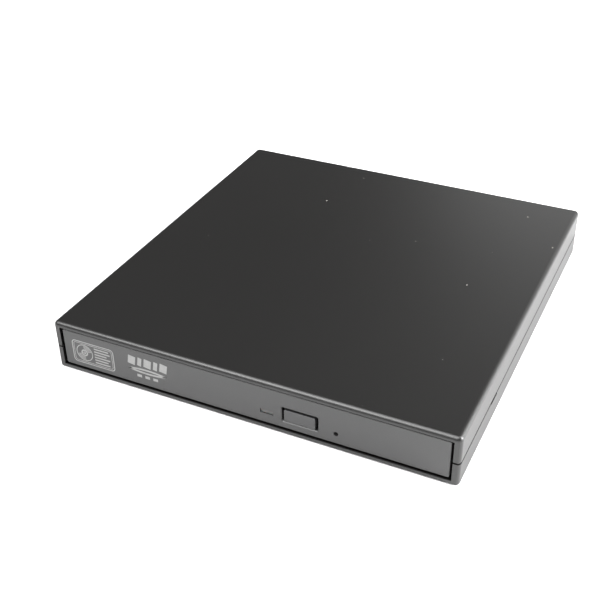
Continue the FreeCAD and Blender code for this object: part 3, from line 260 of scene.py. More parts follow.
@shader_group(*SURFACE, Color=DARK, Roughness=0.4, Mottle=0.1, Grain_Scale=4000.0, Coarse_Share=0.31,
              Flow_Scale=28.0, Cloud_Scale=9.0, Speck_Share=0.6, Tone_Gain=4.0)
def moulded_grain(g: Graph, s: Sockets, out: Node) -> None:
    """Spark-eroded grain of moulded plastic: fine bumps, and slight changes of tone from the melt's flow.

    Args:
        g: the group's graph.
        s: its input sockets.
        out: its output node.
    """
    fine = g.noise(s["Grain Scale"], 3.0)
    coarse = g.noise(g.math("MULTIPLY", s["Grain Scale"], s["Coarse Share"]))
    flow = g.noise(s["Flow Scale"], 3.0, MELT_STRETCH)
    shift = g.swing(g.average(flow, g.noise(s["Cloud Scale"]), 0.5), s["Mottle"])
    speck = g.swing(coarse, g.math("MULTIPLY", s["Mottle"], s["Speck Share"]))
    both = g.math("ADD", shift, speck)
    g.set(out, Color=g.scaled(s["Color"], g.ramp(1.0, both, s["Tone Gain"])),
          Roughness=g.math("ADD", s["Roughness"], both, clamp=True), Height=g.average(fine, coarse, 0.4))


@shader_group("Color", "Roughness", Color=DARK, Roughness=0.4, Amount=0.1, Cells=150.0, Radius=0.00026,
              Dust_Color=(0.42, 0.4, 0.37, 1.0), Dust_Roughness=0.9, Smallest=0.35, Faintest=0.25)
def settled_dust(g: Graph, s: Sockets, out: Node) -> None:
    """Sparse pale specks of dust on faces that look up: round cells thinned at random.

    Args:
        g: the group's graph.
        s: its input sockets.
        out: its output node.
    """
    distance, luck, width, strength = g.cells(g.place(), s["Cells"])
    chosen = g.math("GREATER_THAN", luck, g.math("SUBTRACT", 1.0, s["Amount"]))
    radius = g.math("MULTIPLY", s["Radius"], g.math("ADD", s["Smallest"], width))
    inside = g.math("LESS_THAN", distance, g.math("MULTIPLY", radius, s["Cells"]))
    up = g.add("SeparateXYZ", g.add("NewGeometry").outputs["Normal"]).outputs[2]
    mask = g.math("MULTIPLY", g.math("MULTIPLY", chosen, inside), g.span(up, *LOOKS_UP))
    fade = g.ramp(s["Faintest"], strength, g.math("SUBTRACT", 1.0, s["Faintest"]))
    mask = g.math("MULTIPLY", mask, fade)
    g.set(out, Color=g.mix(mask, s["Color"], s["Dust Color"]),
          Roughness=g.math("MAXIMUM", s["Roughness"], g.math("MULTIPLY", mask, s["Dust Roughness"])))


@shader_group(*SURFACE, Color=GREY, Roughness=0.35, Variation=0.4, Line_Scale=900.0, Stain_Scale=60.0,
              Gloss_Gain=-0.5)
def brushed_metal(g: Graph, s: Sockets, out: Node) -> None:
    """Long fine scratches along one axis and soft stains.

    Args:
        g: the group's graph.
        s: its input sockets.
        out: its output node.
    """
    lines = g.noise(s["Line Scale"], 4.0, BRUSH_STRETCH)
    shift = g.swing(g.average(lines, g.noise(s["Stain Scale"], 4.0), 0.6), s["Variation"])
    g.set(out, Color=g.scaled(s["Color"], g.math("ADD", 1.0, shift)),
          Roughness=g.ramp(s["Roughness"], shift, s["Gloss Gain"], clamp=True), Height=lines)


@shader_group(*SURFACE, Color=GREY, Roughness=0.4, Variation=0.3, Cells=380.0, Bend_Scale=240.0,
              Bend=(0.002, 0.002, 0.002), Smear_Scale=45.0, Smear=0.35, Gloss_Gain=0.6, Grain_Scale=1500.0)
def zinc_spangle(g: Graph, s: Sockets, out: Node) -> None:
    """Crystals of a zinc coat: angular cells that each mirror the room a little differently.

    Args:
        g: the group's graph.
        s: its input sockets.
        out: its output node.
    """
    bent = g.add("TexNoise", Vector=g.place(), Scale=s["Bend Scale"], Detail=2.0).outputs["Color"]
    warped = g.add("VectorMath", bent, s["Bend"], g.place(), operation="MULTIPLY_ADD").outputs[0]
    _, tone, height, _ = g.cells(warped, s["Cells"])
    shift = g.swing(tone, s["Variation"])
    smear = g.swing(g.noise(s["Smear Scale"], 4.0), s["Smear"])
    g.set(out, Color=g.scaled(s["Color"], g.math("ADD", 1.0, g.math("ADD", shift, smear))),
          Roughness=g.ramp(s["Roughness"], shift, s["Gloss Gain"], clamp=True),
          Height=g.math("ADD", height, g.noise(s["Grain Scale"])))


@shader_group(*SURFACE, "Pad", Mask=(0.01, 0.09, 0.035, 1.0), Over_Copper=(0.03, 0.2, 0.07, 1.0),
              Pad_Color=(0.62, 0.6, 0.56, 1.0), Regions=110.0, Tracks=1400.0, Track_Gap=0.55, Patches=170.0,
              Patch_Gap=0.45, Track_Tint=0.75, Pads=430.0, Pad_Radius=0.16, Pad_Rarity=0.72, Gloss=0.28,
              Gloss_Scale=300.0, Gloss_Swing=0.12)
def board_traces(g: Graph, s: Sockets, out: Node) -> None:
    """Solder mask over copper: tracks that run along X or Y by cell, with tinned round pads.

    Args:
        g: the group's graph.
        s: its input sockets.
        out: its output node.
    """
    flat = (1.0, 1.0, 0.0)
    part = g.add("SeparateXYZ", g.place())
    turn = g.math("GREATER_THAN", g.cells(g.place(flat), s["Regions"], distance="CHEBYCHEV")[1], 0.5)
    along = g.ramp(g.math("MULTIPLY", part.outputs[0], turn), part.outputs[1], g.math("SUBTRACT", 1.0, turn))
    stripe = g.math("GREATER_THAN", g.math("FRACT", g.math("MULTIPLY", along, s["Tracks"])), s["Track Gap"])
    track = g.math("MULTIPLY", stripe, g.math("GREATER_THAN", g.noise(s["Patches"]), s["Patch Gap"]))
    distance, _, luck, _ = g.cells(g.place(flat), s["Pads"])
    pad = g.math("MULTIPLY", g.math("LESS_THAN", distance, s["Pad Radius"]),
                 g.math("GREATER_THAN", luck, s["Pad Rarity"]))
    mask = g.mix(g.math("MULTIPLY", track, s["Track Tint"]), s["Mask"], s["Over Copper"])
    g.set(out, Color=g.mix(pad, mask, s["Pad Color"]), Height=g.math("MAXIMUM", track, pad), Pad=pad,
          Roughness=g.ramp(s["Gloss"], g.noise(s["Gloss Scale"]), s["Gloss Swing"]))


@shader_group(*SURFACE, Gap=(0.3, 0.12, 0.02, 1.0), Line=(0.5, 0.22, 0.05, 1.0), Axis=(1.0, 0.0, 0.0),
              Lines=2000.0, Whole_Turn=6.28318, Age_Scale=120.0, New_Tone=0.8, Age_Tone=0.4,
              New_Roughness=0.26, Age_Roughness=0.2)
def even_lines(g: Graph, s: Sockets, out: Node) -> None:
    """Parallel lines across one axis, such as conductors in a flat cable or turns of wire.

    Args:
        g: the group's graph.
        s: its input sockets.
        out: its output node.
    """
    along = g.add("VectorMath", g.place(), s["Axis"], operation="DOT_PRODUCT").outputs["Value"]
    phase = g.math("MULTIPLY", g.math("MULTIPLY", along, s["Lines"]), s["Whole Turn"])
    wave = g.ramp(0.5, g.math("SINE", phase), 0.5)
    color = g.mix(g.span(wave, 0.35, 0.65), s["Gap"], s["Line"])
    age = g.noise(s["Age Scale"], 3.0)
    g.set(out, Color=g.scaled(color, g.ramp(s["New Tone"], age, s["Age Tone"])),
          Roughness=g.ramp(s["New Roughness"], age, s["Age Roughness"]), Height=wave)


# ---------------------------------------------------------------- finishes
def rgba(color: Color) -> tuple[float, float, float, float]:
    """A colour with full alpha."""
    return (*color, 1.0)


def wire_surface(g: Graph, shader: Node, source: Node, depth: float) -> None:
    """Join a group's colour, roughness and height to a shader.

    Args:
        g: the material's graph.
        shader: the Principled shader.
        source: the group node.
        depth: height of the bumps in metres.
    """
    color, roughness, height = (source.outputs[name] for name in SURFACE)
    bump = g.add("Bump", Strength=1.0, Distance=depth, Height=height)
    g.set(shader, Base_Color=color, Roughness=roughness, Normal=bump.outputs[0])


@dataclass(frozen=True)
class Finish:
    """A named look that makes one material."""

    name: str

    def wire(self, g: Graph, shader: Node) -> None:
        """Set the shader up. Each kind of finish does it in its own way."""
        raise NotImplementedError

    def build(self) -> Material:
        """Make the material.

        Returns:
            The new material.
        """
        material = bpy.data.materials.new(self.name)
        material.use_nodes = True
        g = Graph(material.node_tree)
        shader = g.add("BsdfPrincipled")
        g.add("OutputMaterial", Surface=shader.outputs[0])
        self.wire(g, shader)
        return material


@dataclass(frozen=True)
class Plastic(Finish):
    """Moulded plastic with a fine grain, and dust where it is asked for."""

    color: Color
    roughness: float = 0.42
    mottle: float = 0.05
    grain_scale: float = 4200.0
    grain_depth: float = 0.000006
    dust: float = 0.0
    specular: float = 0.5
    scatter: float = 0.0
    scatter_depth: float = 0.0008

    def wire(self, g: Graph, shader: Node) -> None:
        """Wire the grain, and the dust over it.

        Args:
            g: the material's graph.
            shader: its Principled shader.
        """
        g.set(shader, Specular_IOR_Level=self.specular, Subsurface_Weight=self.scatter,
              Subsurface_Scale=self.scatter_depth)
        grain = g.add("Group", node_tree=moulded_grain(), Color=rgba(self.color), Roughness=self.roughness,
                      Mottle=self.mottle, Grain_Scale=self.grain_scale)
        wire_surface(g, shader, grain, self.grain_depth)
        if self.dust > 0.0:
            dust = g.add("Group", node_tree=settled_dust(), Color=grain.outputs["Color"],
                         Roughness=grain.outputs["Roughness"], Amount=self.dust)
            g.set(shader, Base_Color=dust.outputs["Color"], Roughness=dust.outputs["Roughness"])


class MetalLook(Enum):
    """Surface pattern of a metal."""

    BRUSHED = "brushed"
    SPANGLE = "spangle"


@dataclass(frozen=True)
class Metal(Finish):
    """Sheet, turned or cast metal."""

    color: Color
    roughness: float = 0.35
    variation: float = 0.35
    depth: float = 0.000004
    look: MetalLook = MetalLook.BRUSHED

    def wire(self, g: Graph, shader: Node) -> None:
        """Wire the metal's pattern.

        Args:
            g: the material's graph.
            shader: its Principled shader.
        """
        tree = brushed_metal() if self.look is MetalLook.BRUSHED else zinc_spangle()
        pattern = g.add("Group", node_tree=tree, Color=rgba(self.color), Roughness=self.roughness,
                        Variation=self.variation)
        g.set(shader, Metallic=1.0)
        wire_surface(g, shader, pattern, self.depth)


@dataclass(frozen=True)
class Board(Finish):
    """Printed circuit board under a coat of solder mask."""

    mask: Color = (0.008, 0.075, 0.03)
    over_copper: Color = (0.025, 0.17, 0.06)
    depth: float = 0.00003
    coat: Pair = (0.4, 0.15)

    def wire(self, g: Graph, shader: Node) -> None:
        """Wire the tracks, the bare metal of the pads and the coat's weight and roughness.

        Args:
            g: the material's graph.
            shader: its Principled shader.
        """
        traces = g.add("Group", node_tree=board_traces(), Mask=rgba(self.mask),
                       Over_Copper=rgba(self.over_copper))
        wire_surface(g, shader, traces, self.depth)
        g.set(shader, Metallic=traces.outputs["Pad"], Coat_Weight=self.coat[0], Coat_Roughness=self.coat[1])


@dataclass(frozen=True)
class Lined(Finish):
    """Film or wire with even parallel lines."""

    gap: Color
    line: Color
    axis: Triple
    lines: float
    metallic: float = 0.0
    depth: float = 0.00002
    coat: float = 0.25

    def wire(self, g: Graph, shader: Node) -> None:
        """Wire the lines.

        Args:
            g: the material's graph.
            shader: its Principled shader.
        """
        lines = g.add("Group", node_tree=even_lines(), Gap=rgba(self.gap), Line=rgba(self.line),
                      Axis=self.axis, Lines=self.lines)
        g.set(shader, Metallic=self.metallic, Coat_Weight=self.coat)
        wire_surface(g, shader, lines, self.depth)


@dataclass(frozen=True)
class LensGlass(Finish):
    """Coated lens: clear in the middle, violet towards its rim."""

    clear: Color = (0.72, 0.8, 0.9)
    rim: Color = (0.22, 0.12, 0.5)
    rim_blend: float = 0.55
    haze: float = 0.25
    haze_scale: float = 900.0
    gloss: Pair = (0.02, 0.2)
    transmission: float = 0.55
    coat: Pair = (1.0, 0.03)

    def wire(self, g: Graph, shader: Node) -> None:
        """Wire the two tints, a faint haze and the coat's weight and roughness.

        Args:
            g: the material's graph.
            shader: its Principled shader.
        """
        facing = g.add("LayerWeight", Blend=self.rim_blend).outputs["Facing"]
        haze = g.math("MULTIPLY", g.noise(self.haze_scale, 3.0), self.haze)
        tint = g.mix(g.math("ADD", facing, haze, clamp=True), rgba(self.clear), rgba(self.rim))
        g.set(shader, Base_Color=tint, Roughness=g.ramp(self.gloss[0], haze, self.gloss[1]),
              Transmission_Weight=self.transmission, Coat_Weight=self.coat[0], Coat_Roughness=self.coat[1])


# ---------------------------------------------------------------- surfaces
@dataclass
class Surface:
    """A closed surface in millimetres: points, and the point numbers of each face."""

    points: Array
    faces: list[list[int]]

    def moved(self, turn: Array, shift: Sequence[float] = (0.0, 0.0, 0.0)) -> Surface:
        """The surface turned and shifted."""
        return Surface(self.points @ turn.T + np.asarray(shift, float), self.faces)


def merge(parts: Sequence[Surface]) -> Surface:
    """Several closed surfaces as one.

    Args:
        parts: the surfaces.

    Returns:
        One surface that holds them all.
    """
    faces: list[list[int]] = []
    start = 0
    for part in parts:
        faces += [[start + i for i in face] for face in part.faces]
        start += len(part.points)
    return Surface(np.vstack([part.points for part in parts]), faces)


def grid(points: Array, wrap_u: bool = False) -> Surface:
    """Closed surface over a grid of points. Rows run along u, and columns run round v and always close.

    Face (i, j) joins points (i, j), (i+1, j), (i+1, j+1) and (i, j+1). Rows close on the first when u wraps,
    and otherwise one flat face closes each end. The faces are turned outward: the enclosed volume, the sum of
    point . area / 3 over the faces, has to be positive.

    Args:
        points: array of rows x columns x 3, in millimetres.
        wrap_u: whether the last row joins the first.

    Returns:
        The closed surface.
    """
    rows, columns = points.shape[:2]
    number = np.arange(rows * columns).reshape(rows, columns)
    upper = number if wrap_u else number[:-1]
    lower = np.roll(number, -1, 0) if wrap_u else number[1:]
    quads = np.stack([upper, lower, np.roll(lower, -1, 1), np.roll(upper, -1, 1)], -1).reshape(-1, 4)
    flat = points.reshape(-1, 3)
    faces = quads.tolist()
    centred = flat - flat.mean(0)
    corner = centred[quads]
    area = np.cross(corner[:, 2] - corner[:, 0], corner[:, 3] - corner[:, 1])
    volume = float((corner.mean(1) * area).sum())
    if not wrap_u:
        faces += [number[0].tolist(), number[-1, ::-1].tolist()]
        for ring, sign in ((centred[number[0]], 1.0), (centred[number[-1]], -1.0)):
            spin = np.cross(ring, np.roll(ring, -1, 0)).sum(0) * sign
            volume += float(ring.mean(0) @ spin)
    if volume < 0.0:
        faces = [face[::-1] for face in faces]
    return Surface(flat, faces)


def round_steps(count: int) -> Array:
    """Angles of even steps round a circle, from 0."""
    return np.arange(count) * 2.0 * np.pi / count


def about_z(angle: float) -> Array:
    """Rotation about Z."""
    c, s = math.cos(angle), math.sin(angle)
    return np.array([[c, -s, 0.0], [s, c, 0.0], [0.0, 0.0, 1.0]])


def round_profile(radius: float, sides: int = 8) -> Array:
    """Circle: radius * (cos t, sin t)."""
    turn = round_steps(sides)
    return radius * np.stack([np.cos(turn), np.sin(turn)], -1)


def flat_profile(width: float, thickness: float) -> Array:
    """Rectangle about the origin, width across and thickness up."""
    return np.array([(-1, -1), (1, -1), (1, 1), (-1, 1)], float) * (width / 2.0, thickness / 2.0)


def sweep(path: Array, profile: Array, up: Sequence[float] = (0.0, 0.0, 1.0), closed: bool = False,
          across: Optional[Sequence[float]] = None) -> Surface:
    """A profile carried along a path.

    Each point of the path has a tangent from its neighbours, side = up x tangent and over = tangent x side,
    both of unit length. Profile point (a, b) becomes path + a side + b over. A flat path can give its side.

    Args:
        path: points of the path, n x 3.
        profile: points of the profile, m x 2.
        up: direction that is never along the path.
        closed: whether the path ends where it starts.
        across: the side direction for the whole path, instead of up.

    Returns:
        The swept surface.
    """
    ahead = np.roll(path, -1, 0) - np.roll(path, 1, 0) if closed else np.gradient(path, axis=0)
    tangent = ahead / np.linalg.norm(ahead, axis=1, keepdims=True)
    side = np.cross(np.asarray(up, float), tangent) if across is None else np.tile(across, (len(path), 1))
    side = side / np.linalg.norm(side, axis=1, keepdims=True)
    over = np.cross(tangent, side)
    rows = path[:, None] + profile[None, :, :1] * side[:, None] + profile[None, :, 1:] * over[:, None]
    return grid(rows, closed)


def revolve(outline: Array, sides: int, closed: bool = False) -> Surface:
    """An outline of (radius, height) turned about Z: (r cos t, r sin t, z).

    Args:
        outline: points of the outline, n x 2.
        sides: how many steps round.
        closed: whether the outline is a loop, as for a ring.

    Returns:
        The turned surface.
    """
    turn = round_steps(sides)
    radius, height = outline[:, :1], outline[:, 1:]
    rows = np.stack([radius * np.cos(turn), radius * np.sin(turn), height + 0.0 * turn], -1)
    return grid(rows, closed)


def rounded_loop(width: float, height: float, radius: float, per_corner: int = 8) -> Array:
    """Rounded rectangle: quarter circles of the radius about four corner centres, joined in order.

    Args:
        width: size along the first axis.
        height: size along the second axis.
        radius: corner radius.
        per_corner: points in each corner.

    Returns:
        Points of the loop, n x 2.
    """
    turn = np.linspace(0.0, np.pi / 2.0, per_corner)
    signs = np.array([(1, 1), (-1, 1), (-1, -1), (1, -1)], float)
    centres = signs * (width / 2.0 - radius, height / 2.0 - radius)
    angle = turn[None] + np.arange(4)[:, None] * np.pi / 2.0
    ring = centres[:, None] + radius * np.stack([np.cos(angle), np.sin(angle)], -1)
    return ring.reshape(-1, 2)


def densify(path: Array, step: float) -> Array:
    """A path resampled at even steps of its length.

    Args:
        path: points, n x k.
        step: distance between new points.

    Returns:
        The new points.
    """
    length = np.concatenate([[0.0], np.cumsum(np.linalg.norm(np.diff(path, axis=0), axis=1))])
    at = np.linspace(0.0, length[-1], max(int(length[-1] / step), 1) + 1)
    return np.stack([np.interp(at, length, path[:, k]) for k in range(path.shape[1])], -1)


def brick(low: Sequence[float], high: Sequence[float], bevel: float) -> Surface:
    """Block with chamfered edges: rings of a chamfered rectangle that draw in by the bevel at both ends.

    Args:
        low: lowest corner.
        high: highest corner.
        bevel: size of the chamfer.

    Returns:
        The block.
    """
    a, b = np.asarray(low, float), np.asarray(high, float)
    half, mid = (b - a) / 2.0, (a + b) / 2.0
    rows = []
    for z, inset in ((-half[2], bevel), (bevel - half[2], 0.0), (half[2] - bevel, 0.0), (half[2], bevel)):
        loop = rounded_loop(2 * (half[0] - inset), 2 * (half[1] - inset), bevel, 2)
        rows.append(np.column_stack([loop, np.full(len(loop), z)]) + mid)
    return grid(np.array(rows))


SLED_LINE = math.radians(225.0)
SPINDLE = (0.0, -4.5, 0.0)


def on_mechanism(part: Surface) -> Surface:
    """A surface laid out along the sled's line from the spindle, put where the line is."""
    return part.moved(about_z(SLED_LINE), SPINDLE)


class Body(Enum):
    """Bodies that pieces ride on."""

    CASE = "case"
    TRAY = "tray"
    RAIL_LEFT = "rail_left"
    EJECTOR = "ejector"
    LENS = "lens"
    LEADSCREW = "leadscrew"


def place(name: str, surface: Surface, paint: Paint, body: Optional[Body],
          sharp: float = 40.0) -> bpy.types.Object:
    """Make an object from a surface and let it ride on a body.

    Args:
        name: the piece's name.
        surface: its shape in millimetres.
        paint: its finish.
        body: the body that it moves with, or None to leave it unattached.
        sharp: edges steeper than this angle stay crisp, in degrees.

    Returns:
        The new object.
    """
    mesh = bpy.data.meshes.new(name)
    mesh.from_pydata((surface.points * MM).tolist(), [], surface.faces)
    mesh.shade_smooth()
    mesh.set_sharp_from_angle(angle=math.radians(sharp))
    mesh.materials.append(material_of(paint))
    item = bpy.data.objects.new(name, mesh)
    bpy.context.scene.collection.objects.link(item)
    if body is not None:
        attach(item, body.value)
    LOG.info("%s: %d faces", name, len(surface.faces))
    return item


# ---------------------------------------------------------------- pieces
@dataclass
class PanelMarks:
    """Two pale marks printed on the front panel: a disc with arcs, and a slanted stack of bars."""

    face_y: float = -69.4
    proud: float = 0.02
    disc_centre: Pair = (-53.2, 8.2)
    frames: tuple[tuple[float, ...], ...] = ((15.3, 8.1, 1.2, 0.34), (14.1, 6.9, 0.8, 0.2))
    hub_x: float = -3.3
    rings: tuple[Pair, ...] = ((2.95, 0.3), (1.0, 0.5), (0.35, 0.3))
    glints: tuple[float, ...] = (1.6, 2.05, 2.5)
    glint_starts: Pair = (15.0, 195.0)
    glint_turn: float = 80.0
    glint_width: float = 0.24
    ring_points: int = 65
    arc_points: int = 33
    rows_start: Pair = (0.5, 2.6)
    row_ends: tuple[float, ...] = (5.9, 6.3, 5.0, 6.3, 5.5, 6.1)
    row_step: float = 1.04
    row_width: float = 0.5
    bars_centre: Pair = (-33.2, 8.95)
    bars_start: Pair = (-5.7, 0.5)
    bars_top: float = 3.6
    bar_slant: float = 0.5
    bar_step: float = 2.85
    bar_widths: tuple[float, ...] = (2.6, 1.4, 2.6, 1.4, 2.6)
    lens_drop: float = -1.15
    lens_half: float = 6.6
    lens_swell: float = 0.62
    lens_points: int = 25
    dots: int = 3
    dots_start: Pair = (-3.9, -3.3)
    dot_length: float = 1.7
    dot_step: float = 2.9
    dot_width: float = 1.0

    def stroke(self, path: Array, width: float, closed: bool = False) -> Surface:
        """A printed line on the panel."""
        flat = np.column_stack([path[:, 0], np.full(len(path), self.face_y), path[:, 1]])
        return sweep(flat, flat_profile(width, 2.0 * self.proud), (0.0, -1.0, 0.0), closed)

    def arc(self, centre: Pair, radius: float, start: float, turn: float, width: float) -> Surface:
        """A printed arc: centre + radius (cos t, sin t).

        Args:
            centre: its middle.
            radius: its radius.
            start: angle of its start in degrees.
            turn: how far it goes round, where 360 makes a ring.
            width: the line's width.

        Returns:
            The thin strip.
        """
        whole = turn >= 360.0
        t = np.radians(np.linspace(start, start + turn, self.ring_points if whole else self.arc_points))
        path = np.stack([centre[0] + radius * np.cos(t), centre[1] + radius * np.sin(t)], -1)
        return self.stroke(path[:-1] if whole else path, width, whole)

    def line(self, start: Pair, end: Pair, width: float) -> Surface:
        """A straight printed line."""
        return self.stroke(np.array([start, end], float), width)

    def disc(self) -> Surface:
        """Frame with a disc cut by arcs, beside a block of lines.

        Returns:
            The first mark.
        """
        x, z = self.disc_centre
        hub = (x + self.hub_x, z)
        parts = [self.stroke(rounded_loop(wide, high, corner) + (x, z), width, True)
                 for wide, high, corner, width in self.frames]
        parts += [self.arc(hub, radius, 0.0, 360.0, width) for radius, width in self.rings]
        parts += [self.arc(hub, radius, start, self.glint_turn, self.glint_width)
                  for radius in self.glints for start in self.glint_starts]
        for k, end in enumerate(self.row_ends):
            height = z + self.rows_start[1] - self.row_step * k
            parts.append(self.line((x + self.rows_start[0], height), (x + end, height), self.row_width))
        return merge(parts)

    def bars(self) -> Surface:
        """Slanted blocks over a solid lens shape and three dots.

        Returns:
            The second mark.
        """
        x, z = self.bars_centre
        parts = []
        for k, width in enumerate(self.bar_widths):
            left = x + self.bars_start[0] + self.bar_step * k
            top = (left + self.bar_slant, z + self.bars_top)
            parts.append(self.line((left, z + self.bars_start[1]), top, width))
        t = np.linspace(-1.0, 1.0, self.lens_points)
        for k in (-1.0, 1.0):
            height = z + self.lens_drop + k * self.lens_swell * (1.0 - t * t)
            parts.append(self.stroke(np.stack([x + self.lens_half * t, height], -1), self.lens_swell))
        for k in range(self.dots):
            left, height = x + self.dots_start[0] + self.dot_step * k, z + self.dots_start[1]
            parts.append(self.line((left, height), (left + self.dot_length, height), self.dot_width))
        return merge(parts)

    def build(self) -> None:
        """Make both marks."""
        place("front_mark_disc", self.disc(), Paint.INK, Body.TRAY)
        place("front_mark_bars", self.bars(), Paint.INK, Body.TRAY)


@dataclass
class ScrewThread:
    """Drive screw of the sled: a rod with a deep helical groove and plain ends."""

    radius: float = 1.1
    depth: float = 0.24
    pitch: float = 3.0
    axis_v: float = 18.5
    axis_z: float = 6.1
    start_u: float = 12.8
    end_u: float = 59.6
    plain: float = 2.2
    fade: float = 0.6
    groove_half: float = 0.30
    groove_edge: float = 0.12
    steps: int = 620
    sides: int = 28

    def surface(self) -> Surface:
        """Radius over (u, t): r = radius - depth * g, g a smooth groove round phase = u / pitch - t / 2 pi.

        Returns:
            The screw.
        """
        u = np.linspace(self.start_u, self.end_u, self.steps)
        t = round_steps(self.sides)
        phase = (u[:, None] / self.pitch - t[None] / (2.0 * np.pi)) % 1.0
        edge = np.clip((self.groove_half - np.abs(phase - 0.5)) / self.groove_edge, 0.0, 1.0)
        groove = edge * edge * (3.0 - 2.0 * edge)
        from_end = np.minimum(u - self.start_u - self.plain, self.end_u - self.plain - u)
        inside = np.clip(from_end / self.fade, 0.0, 1.0)
        radius = self.radius - self.depth * groove * inside[:, None]
        rows = np.stack([np.broadcast_to(u[:, None], radius.shape), self.axis_v + radius * np.cos(t),
                         self.axis_z + radius * np.sin(t)], -1)
        return on_mechanism(grid(rows))

    def build(self) -> None:
        """Make the screw in place of its plain rod."""
        item = place("leadscrew_thread", self.surface(), Paint.STEEL, Body.LEADSCREW, 60.0)
        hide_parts("leadscrew")


@dataclass
class PushSpring:
    """Spring behind the ejector's plunger."""

    x: float = 55.5
    z: float = 5.4
    front_y: float = 54.0
    back_y: float = 57.5
    coil_r: float = 1.25
    wire_r: float = 0.17
    turns: float = 6.5
    steps_per_turn: int = 28

    def build(self) -> None:
        """Wire along a helix: (r cos t, y, r sin t), with y even in t."""
        t = np.linspace(0.0, 2.0 * np.pi * self.turns, int(self.turns * self.steps_per_turn))
        share = t / t[-1]
        y = self.front_y + self.wire_r + (self.back_y - self.front_y - 2.0 * self.wire_r) * share
        path = np.stack([self.x + self.coil_r * np.cos(t), y, self.z + self.coil_r * np.sin(t)], -1)
        item = place("ejector_coil", sweep(path, round_profile(self.wire_r), (0.0, 1.0, 0.0)), Paint.STEEL,
                     None)
        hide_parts("ejector_spring")
        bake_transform(item)


@dataclass
class FlatCable:
    """Flat cable to the tray in three runs: a lower run on the pan, a fold that travels, and an upper run."""

    x0: float = -58.0
    x1: float = -48.5
    low_z: float = 2.925
    high_z: float = 4.725
    thickness: float = 0.15
    fold_y: float = -31.0
    fold_points: int = 25
    riser_y: float = 43.925
    board_y: float = 50.0
    board_z: float = 4.475
    tray_y: float = 43.0
    travel: float = 126.0
    bend_run: float = 0.5
    bend_cut: Pair = (0.12, 0.1)
    bend_drop: float = 0.45
    low_step: float = 0.5
    high_step: float = 1.0

    def run(self, path: Array) -> Surface:
        """The cable's section along a path.

        Args:
            path: points as (y, z), n x 2.

        Returns:
            The strip.
        """
        middle = (self.x0 + self.x1) / 2.0
        line = np.column_stack([np.full(len(path), middle), path])
        return sweep(line, flat_profile(self.x1 - self.x0, self.thickness), across=(1.0, 0.0, 0.0))

    def lower_path(self) -> Array:
        """From the rear board down a riser and along the pan to the fold.

        Returns:
            Points as (y, z).
        """
        cut_y, cut_z = self.bend_cut
        return np.array([
            (self.board_y, self.board_z), (self.riser_y + self.bend_run, self.board_z),
            (self.riser_y + cut_y, self.board_z - cut_z), (self.riser_y, self.board_z - self.bend_drop),
            (self.riser_y, self.low_z + self.bend_drop), (self.riser_y - cut_y, self.low_z + cut_z),
            (self.riser_y - self.bend_run, self.low_z), (self.fold_y, self.low_z)])

    def build(self) -> None:
        """Make the three runs. The fold is a half circle: (y - r cos t, z + r sin t) over half a turn."""
        lower = densify(self.lower_path(), self.low_step)
        item = place("flex_lower_run", self.run(lower), Paint.FILM, None)
        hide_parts("flex_cable")
        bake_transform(item)
        turn = np.linspace(-np.pi / 2.0, -1.5 * np.pi, self.fold_points)
        radius = (self.high_z - self.low_z) / 2.0
        middle_z = self.low_z + radius
        fold = np.stack([self.fold_y + radius * np.cos(turn), middle_z + radius * np.sin(turn)], -1)
        place("flex_fold", self.run(fold), Paint.FILM, Body.RAIL_LEFT)
        upper = densify(np.array([(self.fold_y, self.high_z), (self.tray_y, self.high_z)]), self.high_step)
        run = place("flex_upper_run", self.run(upper), Paint.FILM, Body.TRAY)
        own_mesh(run)


@dataclass
class UsbContacts:
    """Five gold contacts on the tongue of the USB socket."""

    x: float = 12.0
    top_z: float = 8.3
    back_y: float = 62.6
    front_y: float = 68.1
    pitch: float = 0.8
    width: float = 0.36
    thickness: float = 0.08
    dip: Pair = (0.5, 0.06)
    step: float = 0.25
    count: int = 5

    def build(self) -> None:
        """Strips that lie on the tongue and dip at its edge."""
        side = [(self.back_y, self.top_z), (self.front_y - self.dip[0], self.top_z),
                (self.front_y, self.top_z - self.dip[1])]
        strips = []
        for k in range(self.count):
            x = self.x + (k - self.count // 2) * self.pitch
            path = densify(np.array([(x, y, z) for y, z in side]), self.step)
            strips.append(sweep(path, flat_profile(self.width, self.thickness)))
        place("usb_contacts", merge(strips), Paint.GOLD, Body.CASE)


